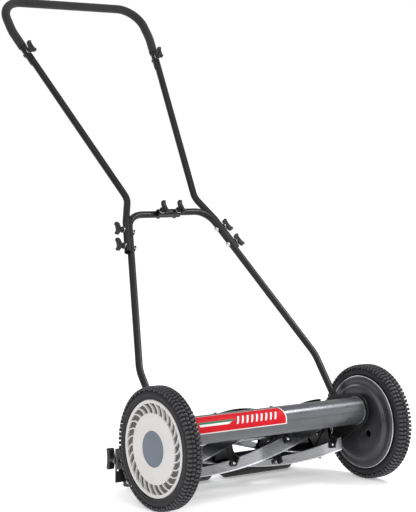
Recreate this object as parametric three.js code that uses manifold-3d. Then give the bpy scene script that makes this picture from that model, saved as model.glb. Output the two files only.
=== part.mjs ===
// Push reel mower: two geared drive wheels turn a five-blade helical reel against a fixed bed knife.
// Millimetres, +Z up, +X along the axle to the mower's left-to-right, +Y back towards the handle.
// The origin is on the ground, under the middle of the whole mower.

import * as THREE from 'three';
import { mergeVertices } from 'three/addons/utils/BufferGeometryUtils.js';
import Module from 'manifold-3d';

const wasm = await Module();
wasm.setup();

// ---------------------------------------------------------------------------------------------
// Driving dimensions
// ---------------------------------------------------------------------------------------------
const CLEARANCE = 0.3; // gap between pieces that touch
const WHEEL_SIDES = 28; // facets round the wheels and their covers
const TUBE_SIDES = 8; // facets round the handle tubes
const BORE_SIDES = 6; // facets round their bores
const RUNNING_GAP = 0.4; // side gap at a turning face

// Cutting unit
const CUT_WIDTH = 457; // 18 inch blades
const END_CLEARANCE = 8; // blade end to side plate
const REEL_RADIUS = 67.2;
const BLADE_COUNT = 5;
const BLADE_WIDTH = 29;
const BLADE_THICKNESS = 2.6;
const BLADE_INNER_RADIUS = 52; // where the trailing edge lies
const BLADE_TWIST = 0.315; // degrees per millimetre of reel length
const BLADE_STEPS = 24; // straight stretches along each twisted blade
const BLADE_PHASE = -37.4; // edge angle of the front blade at mid length, degrees
const REEL_SHAFT_RADIUS = 6;
const SHAFT_SIDES = 14; // facets round the shafts and their bores
const SPIDER_COUNT = 4;
const SPIDER_PITCH = 136;
const SPIDER_THICKNESS = 3;
const SPIDER_HUB_RADIUS = 11;
const SPIDER_HUB_HALF = 10; // half the hub's length
const SPIDER_HOLLOW_RADIUS = 25; // the round gap between two arms
const SPIDER_HOLLOW_CENTRE = 60; // its centre, from the shaft
const TAB_HALF = 9; // half the width of an arm's tab along the shaft
const TAB_THICKNESS = 2.6;
const TAB_REACH = 16; // how far a tab covers the blade, from its trailing edge
const TAB_ROOT = 7; // how far it runs on past that edge
const KNIFE_GAP = 0.4; // reel to bed knife
const KNIFE_ANGLE = 20; // bed knife edge, degrees behind the bottom of the reel
const KNIFE_DEPTH = 32;
const KNIFE_THICKNESS = 3;
const CUTTER_BAR_THICKNESS = 5;
const CUTTER_BAR_DEPTH = 30;
const CUTTER_BAR_HEIGHT = 26;

// Gears
const GEAR_MODULE = 25.4 / 8; // 8 teeth per inch of diameter
const RING_TEETH = 60;
const PINION_TEETH = 11;
const GEAR_BACKLASH = 0.3; // taken off each side of a tooth
const PINION_DROP_ANGLE = 15.9; // pinion below the level of the axle, seen from it, degrees
const GEAR_FACE = 13;

// Wheels
const TYRE_RADIUS = 127;
const TYRE_WIDTH = 35.8;
const TYRE_BORE_RADIUS = 104.3;
const TYRE_SHOULDER = 6;
const WHEEL_STANDOFF = 26.4; // side plate to the tyre's inner face
const RIM_WALL = 5;
const CAP_RADIUS = 100.1;
const CAP_THICKNESS = 2.6;
const CAP_CENTRE_RADIUS = 36.5;
const VENT_COUNT = 28;
const VENT_INNER_RADIUS = 73;
const VENT_OUTER_RADIUS = 92.5;
const VENT_WIDTH = 9;
const AXLE_RADIUS = 8;
const AXLE_HEAD_RADIUS = 13;
const WHEEL_HUB_RADIUS = 16;
const WEB_THICKNESS = 4;
const SHIELD_RADIUS = 103;
const SHIELD_STEP_RADIUS = 80;
const SHEET = 2.5; // shield sheet thickness
const SHIELD_BOSS_RADIUS = 14;
const SHIELD_STEP_DEPTH = 8;
const SIGHT_HOLE_RADIUS = 5;
const SIGHT_HOLE_OFFSET = 22; // forward of the axle and below it

// Frame
const TUBE_RADIUS = 29.7;
const TUBE_WALL = 2;
const TUBE_Y = -17;
const TUBE_Z = 157.4;
const PLATE_THICKNESS = 4;
const PLATE_LOBE = 6.3; // side plate edge beyond the cross tube
const PIVOT_RADIUS = 5;
const PIVOT_HEAD_RADIUS = 8.5;
const PIVOT_HEAD_THICKNESS = 3;
const STOP_RADIUS = 4; // peg the handle rests on
const STOP_REACH = 18; // along the handle from the pivot
const BEARING_RADIUS = 14;
const BEARING_COLLAR = 4; // how far the bearing stands in from the plate

// Rear roller and its height adjustment
const ROLLER_RADIUS = 22;
const ROLLER_Y = 187;
const ROLLER_CENTRE_GAP = 14; // from the middle of the mower
const ROLLER_END_GAP = 20; // from the side plate
const ROLLER_TAPER = 12;
const ROLLER_END_RADIUS = 14;
const ROLLER_SHAFT_RADIUS = 5;
const ADJUST_KNOB_Z = 67;
const ADJUST_UP = 20;
const ADJUST_DOWN = 15;
const FLANGE_THICKNESS = 3;
const FLANGE_BELOW_KNOB = 18;
const FLANGE_ABOVE_KNOB = 27;
const BRACKET_THICKNESS = 3.5;
const EAR_RADIUS = 12;
const BRACKET_BOTTOM = 20;

// Handle
const HANDLE_TUBE_RADIUS = 7.95;
const HANDLE_WALL = 1.3;
const PIVOT_Y = 52;
const PIVOT_Z = 160;
const LOWER_LEAN = 0.74; // run back per rise, below the waist
const UPPER_LEAN = 0.84;
const WAIST_Z = 600;
const LOWER_OUT_X = 243; // half width of the handle beside the frame
const LOWER_BEND_Z = 267;
const LOWER_START = 40; // round tube begins, above the pivot
const EYE_RADIUS = 11; // flattened end round the pivot
const EYE_THICKNESS = 4.4;
const SLOPE_IN = 0.4235; // inward run per rise of the lower tubes
const ARCH_Z = 585;
const ARCH_OVERLAP = 32;
const ARCH_OFFSET = 3.6; // each arch end off the common centre line
const ARCH_BOLT_XS = [-24, 22];
const SIDE_NEST = 9.5; // upper tube centre to lower tube centre at the side joints
const SIDE_BOLT_ZS = [547, 513];
const SIDE_BEND_Z = 567;
const UPPER_END_Z = 501;
const WAIST_X = 95;
const WAIST_BEND_Z = 618;
const UPPER_TOP_X = 189;
const UPPER_TOP_Z = 971;
const TOP_BOLT_DROP = 13; // bolt below the end of the upper tube
const TOP_NEST = 2.5; // grip bar centre behind the upper tube centre
const GRIP_HALF_WIDTH = 199.5;
const GRIP_KNEE_Z = 1012;
const GRIP_TOP_Z = 1086;
const GRIP_KNEE_RADIUS = 110;
const GRIP_CORNER_RADIUS = 58;
const GRIP_END_Z = 936;
const FOAM_RADIUS = 11;
const FOAM_END_Z = 973;

// Knobs and bolts
const BOLT_RADIUS = 3;
const BOLT_HEAD_RADIUS = 7;
const BOLT_HEAD_HEIGHT = 3.6;
const BOLT_TAIL = 11; // bolt length inside a wing knob
const KNOB_RADIUS = 7.5;
const KNOB_TOP_RADIUS = 5;
const KNOB_HEIGHT = 21;
const WING_WIDTH = 30;
const WING_THICKNESS = 6;
const BIG_KNOB_RADIUS = 7.2;
const BIG_KNOB_HEIGHT = 32;
const BIG_WING_WIDTH = 46;
const BIG_WING_THICKNESS = 14;

// ---------------------------------------------------------------------------------------------
// Sizes worked out from the driving dimensions
// ---------------------------------------------------------------------------------------------
const rad = THREE.MathUtils.degToRad;
const AXLE_Z = TYRE_RADIUS;
const GEAR_CENTRES = ((RING_TEETH - PINION_TEETH) / 2) * GEAR_MODULE;
const REEL_Y = GEAR_CENTRES * Math.cos(rad(PINION_DROP_ANGLE));
const REEL_Z = AXLE_Z - GEAR_CENTRES * Math.sin(rad(PINION_DROP_ANGLE));
const KNIFE_EDGE_Y = REEL_Y + (REEL_RADIUS + KNIFE_GAP) * Math.sin(rad(KNIFE_ANGLE));
const KNIFE_TOP_Z = REEL_Z - (REEL_RADIUS + KNIFE_GAP) * Math.cos(rad(KNIFE_ANGLE));
const BLADE_HALF = CUT_WIDTH / 2;
const PLATE_IN = BLADE_HALF + END_CLEARANCE;
const PLATE_OUT = PLATE_IN + PLATE_THICKNESS;
const SPAN_HALF = PLATE_IN - CLEARANCE; // what fits between the side plates
const WHEEL_IN = PLATE_OUT + WHEEL_STANDOFF;
const WHEEL_OUT = WHEEL_IN + TYRE_WIDTH;
const SHIELD_RIM = WHEEL_IN + 1;
const SHIELD_IN = PLATE_OUT + WHEEL_STANDOFF / 2;
const RIM_IN = SHIELD_RIM + 2;
const RIM_OUT = WHEEL_OUT - 4.5;
const GEAR_IN = RIM_IN + 0.5;
const WEB_IN = RIM_IN + GEAR_FACE + 3;
const HUB_OUT = RIM_OUT - 6;
const CAP_IN = RIM_OUT + CLEARANCE;
const GRIP_BACK_Y = handleY(GRIP_TOP_Z) + FOAM_RADIUS;
const AXLE_Y = (TYRE_RADIUS - GRIP_BACK_Y) / 2; // the axle, forward of the middle of the mower
const BORE = CLEARANCE + BOLT_RADIUS;

// ---------------------------------------------------------------------------------------------
// Materials
// ---------------------------------------------------------------------------------------------
function finish(color, roughness, metalness) {
  return new THREE.MeshStandardMaterial({ color, roughness, metalness });
}
const GUNMETAL = finish('#5b5c61', 0.42, 0.8);
const FRAME_BLACK = finish('#1d1d1f', 0.5, 0.4);
const TUBE_BLACK = finish('#242325', 0.38, 0.3);
const STEEL = finish('#b9bcc0', 0.28, 1);
const ZINC = finish('#c9cac6', 0.3, 1);
const RUBBER = finish('#2a292b', 0.85, 0);
const CAP_GREY = finish('#d6d3cc', 0.55, 0);
const CENTRE_BLUE = finish('#66727f', 0.6, 0);
const BLACK_PLASTIC = finish('#151516', 0.6, 0);
const FOAM_BLACK = finish('#1c1c1d', 0.95, 0);

// ---------------------------------------------------------------------------------------------
// Solids
// ---------------------------------------------------------------------------------------------
// Only positions, with shared corners merged and no zero-area triangles.
function welded(geometry) {
  const bare = geometry.index ? geometry.toNonIndexed() : geometry.clone();
  bare.deleteAttribute('normal');
  bare.deleteAttribute('uv');
  const merged = mergeVertices(bare, 1e-4);
  const index = Array.from(merged.index.array);
  const kept = [];
  for (let i = 0; i < index.length; i += 3) {
    const [a, b, c] = index.slice(i, i + 3);
    if (a !== b && b !== c && a !== c) kept.push(a, b, c);
  }
  merged.setIndex(kept);
  return merged;
}

// The signed volume is positive when the faces point out.
function signedVolume(geometry) {
  const at = geometry.attributes.position;
  const corner = [new THREE.Vector3(), new THREE.Vector3(), new THREE.Vector3()];
  let sum = 0;
  for (let i = 0; i < geometry.index.count; i += 3) {
    corner.forEach((v, k) => v.fromBufferAttribute(at, geometry.index.getX(i + k)));
    sum += corner[0].dot(corner[1].clone().cross(corner[2])) / 6;
  }
  return sum;
}

function solid(geometry) {
  const merged = welded(geometry);
  const triangles = Uint32Array.from(merged.index.array);
  if (signedVolume(merged) < 0) triangles.reverse();
  const vertProperties = Float32Array.from(merged.attributes.position.array);
  return new wasm.Manifold(new wasm.Mesh({ numProp: 3, vertProperties, triVerts: triangles }));
}

function geometryOf(body) {
  const mesh = body.getMesh();
  const geometry = new THREE.BufferGeometry();
  const position = new THREE.BufferAttribute(Float32Array.from(mesh.vertProperties), 3);
  geometry.setAttribute('position', position);
  geometry.setIndex(Array.from(mesh.triVerts));
  return geometry;
}

function joined(...bodies) {
  return bodies.reduce((sum, body) => sum.add(body));
}

function cut(body, ...tools) {
  return tools.reduce((rest, tool) => rest.subtract(tool), body);
}

// A turned piece about the X axis: profile points are [radius, x], x measured outward on that side.
function turned(profile, side = 1, segments = WHEEL_SIDES) {
  const points = profile.map(([radius, x]) => new THREE.Vector2(radius, side * x));
  const closed = profile[0][0] > 0 ? [...points, points[0].clone()] : points;
  const geometry = new THREE.LatheGeometry(closed, segments);
  geometry.rotateZ(-Math.PI / 2);
  return solid(geometry);
}

// A plate in the YZ plane between two distances from the middle, on one side of the mower.
function slab(shape, xFrom, xTo, side = 1, curveSegments = 6) {
  const geometry = new THREE.ExtrudeGeometry(shape, {
    depth: xTo - xFrom,
    bevelEnabled: false,
    curveSegments,
  });
  geometry.rotateZ(Math.PI / 2);
  geometry.rotateY(Math.PI / 2);
  geometry.translate(side > 0 ? xFrom : -xTo, 0, 0);
  return solid(geometry);
}

function box(x, y, z) {
  const geometry = new THREE.BoxGeometry(x[1] - x[0], y[1] - y[0], z[1] - z[0]);
  geometry.translate((x[0] + x[1]) / 2, (y[0] + y[1]) / 2, (z[0] + z[1]) / 2);
  return solid(geometry);
}

// The x range of something on one side, in rising order.
function span(side, from, to) {
  return side > 0 ? [from, to] : [-to, -from];
}

// A round bar or drill between two points.
function bar(from, to, radius, segments = 8) {
  const axis = to.clone().sub(from);
  const geometry = new THREE.CylinderGeometry(radius, radius, axis.length(), segments);
  geometry.translate(0, axis.length() / 2, 0);
  geometry.applyQuaternion(turnTo(axis));
  geometry.translate(from.x, from.y, from.z);
  return solid(geometry);
}

function turnTo(axis) {
  return new THREE.Quaternion().setFromUnitVectors(new THREE.Vector3(0, 1, 0), axis.clone().normalize());
}

function crossBar(y, z, radius, side, from, to, segments = 16) {
  const start = new THREE.Vector3(side * from, y, z);
  return bar(start, new THREE.Vector3(side * to, y, z), radius, segments);
}

// The outline round a ring of circles [y, z, radius], given in anticlockwise order.
function hull(circles, arcSteps = 5) {
  const count = circles.length;
  const headings = circles.map(([y, z, r], i) => {
    const [nextY, nextZ, nextR] = circles[(i + 1) % count];
    const away = Math.atan2(nextZ - z, nextY - y);
    return away + Math.asin((r - nextR) / Math.hypot(nextY - y, nextZ - z));
  });
  const outline = [];
  circles.forEach(([y, z, r], i) => {
    const last = headings[i];
    let first = headings[(i + count - 1) % count];
    while (first > last) first -= 2 * Math.PI;
    while (last - first > 2 * Math.PI) first += 2 * Math.PI;
    for (let step = 0; step <= arcSteps; step += 1) {
      const angle = first + ((last - first) * step) / arcSteps - Math.PI / 2;
      outline.push(new THREE.Vector2(y + r * Math.cos(angle), z + r * Math.sin(angle)));
    }
  });
  return new THREE.Shape(outline);
}

function circleShape(radius, y = 0, z = 0) {
  return new THREE.Shape().absarc(y, z, radius, 0, 2 * Math.PI, false);
}

// A run of straight stretches with a round bend at each inner corner.
class BentPath extends THREE.Curve {
  constructor(corners, radii, bendSteps = 4) {
    super();
    this.stations = [];
    corners.forEach((corner, i) => {
      if (i === 0 || i === corners.length - 1) {
        const [a, b] = i === 0 ? [corner, corners[1]] : [corners[i - 1], corner];
        this.stations.push({ point: corner.clone(), tangent: b.clone().sub(a).normalize() });
      } else {
        this.addBend(corners[i - 1], corner, corners[i + 1], radii[i - 1], bendSteps);
      }
    });
  }

  addBend(before, corner, after, radius, steps) {
    const into = corner.clone().sub(before).normalize();
    const out = after.clone().sub(corner).normalize();
    const angle = into.angleTo(out);
    const inward = out.clone().addScaledVector(into, -into.dot(out)).normalize();
    const start = corner.clone().addScaledVector(into, -radius * Math.tan(angle / 2));
    for (let step = 0; step <= steps; step += 1) {
      const turn = (angle * step) / steps;
      const point = start.clone().addScaledVector(into, radius * Math.sin(turn));
      point.addScaledVector(inward, radius * (1 - Math.cos(turn)));
      const tangent = into.clone().multiplyScalar(Math.cos(turn)).addScaledVector(inward, Math.sin(turn));
      this.stations.push({ point, tangent });
    }
  }

  stationAt(u) {
    return this.stations[Math.round(u * (this.stations.length - 1))];
  }

  getPoint(t, target = new THREE.Vector3()) {
    return target.copy(this.stationAt(t).point);
  }

  getPointAt(u, target) {
    return this.getPoint(u, target);
  }

  getTangent(t, target = new THREE.Vector3()) {
    return target.copy(this.stationAt(t).tangent);
  }

  getTangentAt(u, target) {
    return this.getTangent(u, target);
  }
}

function rod(corners, radii, radius, sides = TUBE_SIDES) {
  const path = new BentPath(corners, radii);
  const ring = Array.from({ length: sides }, (_, i) => {
    const angle = (2 * Math.PI * i) / sides;
    return new THREE.Vector2(radius * Math.cos(angle), radius * Math.sin(angle));
  });
  const steps = path.stations.length - 1;
  return solid(new THREE.ExtrudeGeometry(new THREE.Shape(ring), { steps, extrudePath: path }));
}

// The same run, made longer at both ends.
function lengthened(corners, by) {
  const longer = corners.map((corner) => corner.clone());
  const last = longer.length - 1;
  longer[0].addScaledVector(corners[0].clone().sub(corners[1]).normalize(), by);
  longer[last].addScaledVector(corners[last].clone().sub(corners[last - 1]).normalize(), by);
  return longer;
}

function addMesh(group, name, body, material) {
  const mesh = new THREE.Mesh(geometryOf(body), material);
  mesh.name = name;
  group.add(mesh);
  return mesh;
}

function sideName(side) {
  return side > 0 ? 'right' : 'left';
}

function bothSides(build) {
  [-1, 1].forEach(build);
}

// ---------------------------------------------------------------------------------------------
// Gears
// ---------------------------------------------------------------------------------------------
const PRESSURE_ANGLE = rad(20);
const RING_PITCH_RADIUS = (RING_TEETH * GEAR_MODULE) / 2;
const PINION_PITCH_RADIUS = (PINION_TEETH * GEAR_MODULE) / 2;
const RING_ROOT_RADIUS = RING_PITCH_RADIUS + 1.1 * GEAR_MODULE;
const RING_TIP_RADIUS = RING_PITCH_RADIUS - 0.6 * GEAR_MODULE;

// Outline through [radius, half angle] points mirrored about each tooth's (or space's) middle.
function toothOutline(count, phase, halfProfile) {
  const outline = [];
  for (let i = 0; i < count; i += 1) {
    const middle = phase + (2 * Math.PI * i) / count;
    const rising = halfProfile.map(([r, half]) => [r, middle - half]);
    const falling = halfProfile.map(([r, half]) => [r, middle + half]).reverse();
    [...rising, ...falling].forEach(([r, angle]) => {
      outline.push(new THREE.Vector2(r * Math.cos(angle), r * Math.sin(angle)));
    });
  }
  return outline;
}

function ringSpaces(phase) {
  const half = (Math.PI * GEAR_MODULE) / 4 + GEAR_BACKLASH;
  const slope = Math.tan(PRESSURE_ANGLE);
  const tipHalf = half + slope * (RING_PITCH_RADIUS - RING_TIP_RADIUS);
  const rootHalf = half - slope * (RING_ROOT_RADIUS - RING_PITCH_RADIUS);
  return toothOutline(RING_TEETH, phase, [
    [RING_TIP_RADIUS, tipHalf / RING_TIP_RADIUS],
    [RING_ROOT_RADIUS, rootHalf / RING_ROOT_RADIUS],
  ]);
}

function pinionTeeth(phase) {
  const involute = (angle) => Math.tan(angle) - angle;
  const base = PINION_PITCH_RADIUS * Math.cos(PRESSURE_ANGLE);
  const tip = PINION_PITCH_RADIUS + 0.8 * GEAR_MODULE;
  const root = PINION_PITCH_RADIUS - 0.85 * GEAR_MODULE;
  const pitchHalf = ((Math.PI * GEAR_MODULE) / 4 - GEAR_BACKLASH) / PINION_PITCH_RADIUS;
  const baseHalf = pitchHalf + involute(PRESSURE_ANGLE);
  const flank = [base + 0.2, (base + tip) / 2, tip];
  const points = flank.map((r) => [r, baseHalf - involute(Math.acos(base / r))]);
  return toothOutline(PINION_TEETH, phase, [[root, baseHalf], ...points]);
}

// ---------------------------------------------------------------------------------------------
// Drive wheels: each turns on its axle about the group's origin
// ---------------------------------------------------------------------------------------------
const MESH_ANGLE = -rad(PINION_DROP_ANGLE); // from the wheel centre to the pinion, in the YZ plane

function wheelRim(side) {
  const barrelIn = TYRE_BORE_RADIUS - CLEARANCE;
  const shell = turned([
    [AXLE_RADIUS + CLEARANCE, SHIELD_IN + SHEET + RUNNING_GAP],
    [WHEEL_HUB_RADIUS, SHIELD_IN + SHEET + RUNNING_GAP],
    [WHEEL_HUB_RADIUS, WEB_IN],
    [barrelIn - RIM_WALL, WEB_IN],
    [barrelIn - RIM_WALL, RIM_IN],
    [barrelIn, RIM_IN],
    [barrelIn, RIM_OUT],
    [barrelIn - RIM_WALL, RIM_OUT],
    [barrelIn - RIM_WALL, WEB_IN + WEB_THICKNESS],
    [WHEEL_HUB_RADIUS, WEB_IN + WEB_THICKNESS],
    [WHEEL_HUB_RADIUS, HUB_OUT],
    [AXLE_RADIUS + CLEARANCE, HUB_OUT],
  ], side);
  const ringShape = circleShape(barrelIn - RIM_WALL / 2);
  ringShape.holes.push(new THREE.Path(ringSpaces(MESH_ANGLE).reverse()));
  return shell.add(slab(ringShape, GEAR_IN, GEAR_IN + GEAR_FACE, side, 10));
}

function tyre(side) {
  return turned([
    [TYRE_BORE_RADIUS, WHEEL_IN],
    [TYRE_RADIUS - TYRE_SHOULDER, WHEEL_IN],
    [TYRE_RADIUS - 1.5, WHEEL_IN + 3],
    [TYRE_RADIUS, WHEEL_IN + TYRE_SHOULDER],
    [TYRE_RADIUS, WHEEL_OUT - TYRE_SHOULDER],
    [TYRE_RADIUS - 1.5, WHEEL_OUT - 3],
    [TYRE_RADIUS - TYRE_SHOULDER, WHEEL_OUT],
    [TYRE_BORE_RADIUS, WHEEL_OUT],
  ], side);
}

// A slanted slot between the two vent circles.
function vent(middle) {
  const slant = 0.1;
  const corners = [
    [VENT_INNER_RADIUS, -1, -slant],
    [VENT_OUTER_RADIUS, -1, slant],
    [VENT_OUTER_RADIUS, 1, slant],
    [VENT_INNER_RADIUS, 1, -slant],
  ];
  return new THREE.Path(corners.map(([radius, sign, lean]) => {
    const angle = middle + lean + (sign * VENT_WIDTH * radius) / (2 * VENT_OUTER_RADIUS ** 2);
    return new THREE.Vector2(radius * Math.cos(angle), radius * Math.sin(angle));
  }));
}

function hubCap(side) {
  const shape = circleShape(CAP_RADIUS);
  for (let i = 0; i < VENT_COUNT; i += 1) {
    shape.holes.push(vent((2 * Math.PI * (i + 0.5)) / VENT_COUNT));
  }
  const disc = slab(shape, CAP_IN, CAP_IN + CAP_THICKNESS, side, WHEEL_SIDES / 2);
  return cut(disc, crossBar(0, 0, CAP_CENTRE_RADIUS + CLEARANCE, side, HUB_OUT, WHEEL_OUT + 9, WHEEL_SIDES));
}

function hubCentre(side) {
  return turned([
    [0, CAP_IN + 0.5],
    [CAP_CENTRE_RADIUS, CAP_IN + 0.5],
    [CAP_CENTRE_RADIUS, CAP_IN + CAP_THICKNESS],
    [CAP_CENTRE_RADIUS - 1.5, CAP_IN + CAP_THICKNESS + 1],
    [0, CAP_IN + CAP_THICKNESS + 1.4],
  ], side);
}

function axle(side) {
  return turned([
    [0, PLATE_IN + CLEARANCE],
    [AXLE_RADIUS, PLATE_IN + CLEARANCE],
    [AXLE_RADIUS, HUB_OUT + RUNNING_GAP],
    [AXLE_HEAD_RADIUS, HUB_OUT + RUNNING_GAP],
    [AXLE_HEAD_RADIUS, CAP_IN - 1.5],
    [0, CAP_IN - 1.5],
  ], side, 16);
}

function shield(side) {
  const step = SHIELD_STEP_RADIUS;
  const out = SHIELD_IN + SHIELD_STEP_DEPTH;
  const dish = turned([
    [AXLE_RADIUS + CLEARANCE, PLATE_OUT + CLEARANCE],
    [SHIELD_BOSS_RADIUS, PLATE_OUT + CLEARANCE],
    [SHIELD_BOSS_RADIUS, SHIELD_IN],
    [step, SHIELD_IN],
    [step + 3, out],
    [SHIELD_RADIUS - 4, out],
    [SHIELD_RADIUS, SHIELD_RIM],
    [SHIELD_RADIUS - 3.5, SHIELD_RIM],
    [SHIELD_RADIUS - 6.2, out + SHEET],
    [step + 0.8, out + SHEET],
    [step - 2.2, SHIELD_IN + SHEET],
    [AXLE_RADIUS + CLEARANCE, SHIELD_IN + SHEET],
  ], side);
  const shaftZ = REEL_Z - AXLE_Z;
  const shaftHole = crossBar(REEL_Y, shaftZ, REEL_SHAFT_RADIUS + 2, side, PLATE_OUT, WHEEL_IN);
  const sight = -SIGHT_HOLE_OFFSET;
  const sightHole = crossBar(sight, sight, SIGHT_HOLE_RADIUS, side, PLATE_OUT, WHEEL_IN, 10);
  return cut(dish, shaftHole, sightHole);
}

// ---------------------------------------------------------------------------------------------
// Frame
// ---------------------------------------------------------------------------------------------
const FLANGE_BACK_Y = ROLLER_Y + 12;
const FLANGE_OUT_X = PLATE_OUT + 16;
const DRILL_REACH = 5; // how far a drill passes the faces it opens
const HANDLE_PIVOT_OUT = LOWER_OUT_X + EYE_THICKNESS / 2 + CLEARANCE;

function crossTube() {
  return turned([
    [TUBE_RADIUS - TUBE_WALL, -SPAN_HALF],
    [TUBE_RADIUS, -SPAN_HALF],
    [TUBE_RADIUS, SPAN_HALF],
    [TUBE_RADIUS - TUBE_WALL, SPAN_HALF],
  ], 1, 40);
}

// Lobes round the cross tube, the bed knife, the roller adjuster and the handle pivot.
function plateOutline() {
  const pivotLobe = PIVOT_HEAD_RADIUS + 13.5;
  return hull([
    [TUBE_Y, TUBE_Z, TUBE_RADIUS + PLATE_LOBE],
    [KNIFE_EDGE_Y + 18, KNIFE_TOP_Z + 9, 18],
    [ROLLER_Y, ADJUST_KNOB_Z - 3, EAR_RADIUS],
    [ROLLER_Y, ADJUST_KNOB_Z + FLANGE_ABOVE_KNOB, EAR_RADIUS],
    [PIVOT_Y, PIVOT_Z + 3, pivotLobe],
  ]);
}

function sidePlate(side) {
  const flange = box(
    span(side, PLATE_IN + 1, FLANGE_OUT_X),
    [FLANGE_BACK_Y - FLANGE_THICKNESS, FLANGE_BACK_Y],
    [ADJUST_KNOB_Z - FLANGE_BELOW_KNOB, ADJUST_KNOB_Z + FLANGE_ABOVE_KNOB],
  );
  const headOut = HANDLE_PIVOT_OUT + PIVOT_HEAD_THICKNESS;
  const pivot = crossBar(PIVOT_Y, PIVOT_Z, PIVOT_RADIUS, side, PLATE_IN + 1, headOut - 1, 12);
  const pivotHead = crossBar(PIVOT_Y, PIVOT_Z, PIVOT_HEAD_RADIUS, side, HANDLE_PIVOT_OUT, headOut, 12);
  const along = new THREE.Vector2(LOWER_LEAN, 1).normalize();
  const eyeHalf = EYE_RADIUS - (EYE_RADIUS - HANDLE_TUBE_RADIUS) * (STOP_REACH / LOWER_START);
  const below = eyeHalf + STOP_RADIUS + CLEARANCE;
  const stopY = PIVOT_Y + STOP_REACH * along.x + below * along.y;
  const stopZ = PIVOT_Z + STOP_REACH * along.y - below * along.x;
  const stop = crossBar(stopY, stopZ, STOP_RADIUS, side, PLATE_IN + 1, headOut, 10);
  const plate = slab(plateOutline(), PLATE_IN, PLATE_OUT, side);
  const [from, to] = [PLATE_IN - DRILL_REACH, PLATE_OUT + DRILL_REACH];
  const knobX = side * adjustKnobX();
  const studHole = bar(
    new THREE.Vector3(knobX, FLANGE_BACK_Y - 2 * DRILL_REACH, ADJUST_KNOB_Z),
    new THREE.Vector3(knobX, FLANGE_BACK_Y + 2 * DRILL_REACH, ADJUST_KNOB_Z),
    BORE,
  );
  return cut(
    joined(plate, flange, pivot, pivotHead, stop),
    crossBar(0, AXLE_Z, AXLE_RADIUS + CLEARANCE, side, from, to),
    crossBar(REEL_Y, REEL_Z, BEARING_RADIUS + CLEARANCE, side, from, to),
    studHole,
  );
}

function adjustKnobX() {
  return PLATE_OUT + 10.5;
}

// ---------------------------------------------------------------------------------------------
// Reel: turns about the group's origin
// ---------------------------------------------------------------------------------------------
// A point of blade number k: a share of the way from the cutting edge to the trailing edge.
function bladeEdgeAngle(k, x) {
  return rad(BLADE_PHASE + BLADE_TWIST * x - (360 / BLADE_COUNT) * k);
}

function bladeWrap() {
  const [r, s, w] = [REEL_RADIUS, BLADE_INNER_RADIUS, BLADE_WIDTH];
  return Math.acos((r * r + s * s - w * w) / (2 * r * s));
}

// Angles run from the front of the reel (-Y) up towards the top (+Z).
function reelPoint(radius, angle) {
  return new THREE.Vector2(-radius * Math.cos(angle), radius * Math.sin(angle));
}

// The blade's section at x: outside and inside are measured from its outer face, ahead and behind
// from its cutting edge and its trailing edge.
function bladeSection(k, x, outside, inside, ahead = 0, behind = 0) {
  const edge = reelPoint(REEL_RADIUS, bladeEdgeAngle(k, x));
  const trail = reelPoint(BLADE_INNER_RADIUS, bladeEdgeAngle(k, x) + bladeWrap());
  const along = trail.clone().sub(edge).normalize();
  const inward = new THREE.Vector2(along.y, -along.x);
  if (inward.dot(edge) > 0) inward.negate();
  const a = edge.clone().addScaledVector(along, -ahead);
  const b = trail.clone().addScaledVector(along, behind);
  return [
    a.clone().addScaledVector(inward, -outside),
    b.clone().addScaledVector(inward, -outside),
    b.clone().addScaledVector(inward, inside),
    a.clone().addScaledVector(inward, inside),
  ];
}

// A bar whose four-sided section changes along X.
function twistedBar(sectionAt, xFrom, xTo, steps) {
  const positions = [];
  const indices = [];
  for (let i = 0; i <= steps; i += 1) {
    const x = xFrom + ((xTo - xFrom) * i) / steps;
    sectionAt(x).forEach((p) => positions.push(x, p.x, p.y));
  }
  for (let i = 0; i < steps; i += 1) {
    for (let j = 0; j < 4; j += 1) {
      const [a, b] = [4 * i + j, 4 * i + ((j + 1) % 4)];
      indices.push(a, b, b + 4, a, b + 4, a + 4);
    }
  }
  const last = 4 * steps;
  indices.push(0, 2, 1, 0, 3, 2, last, last + 1, last + 2, last, last + 2, last + 3);
  const geometry = new THREE.BufferGeometry();
  geometry.setAttribute('position', new THREE.Float32BufferAttribute(positions, 3));
  geometry.setIndex(indices);
  return solid(geometry);
}

function blade(k) {
  const section = (x) => bladeSection(k, x, 0, BLADE_THICKNESS);
  return twistedBar(section, -BLADE_HALF, BLADE_HALF, BLADE_STEPS);
}

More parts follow.
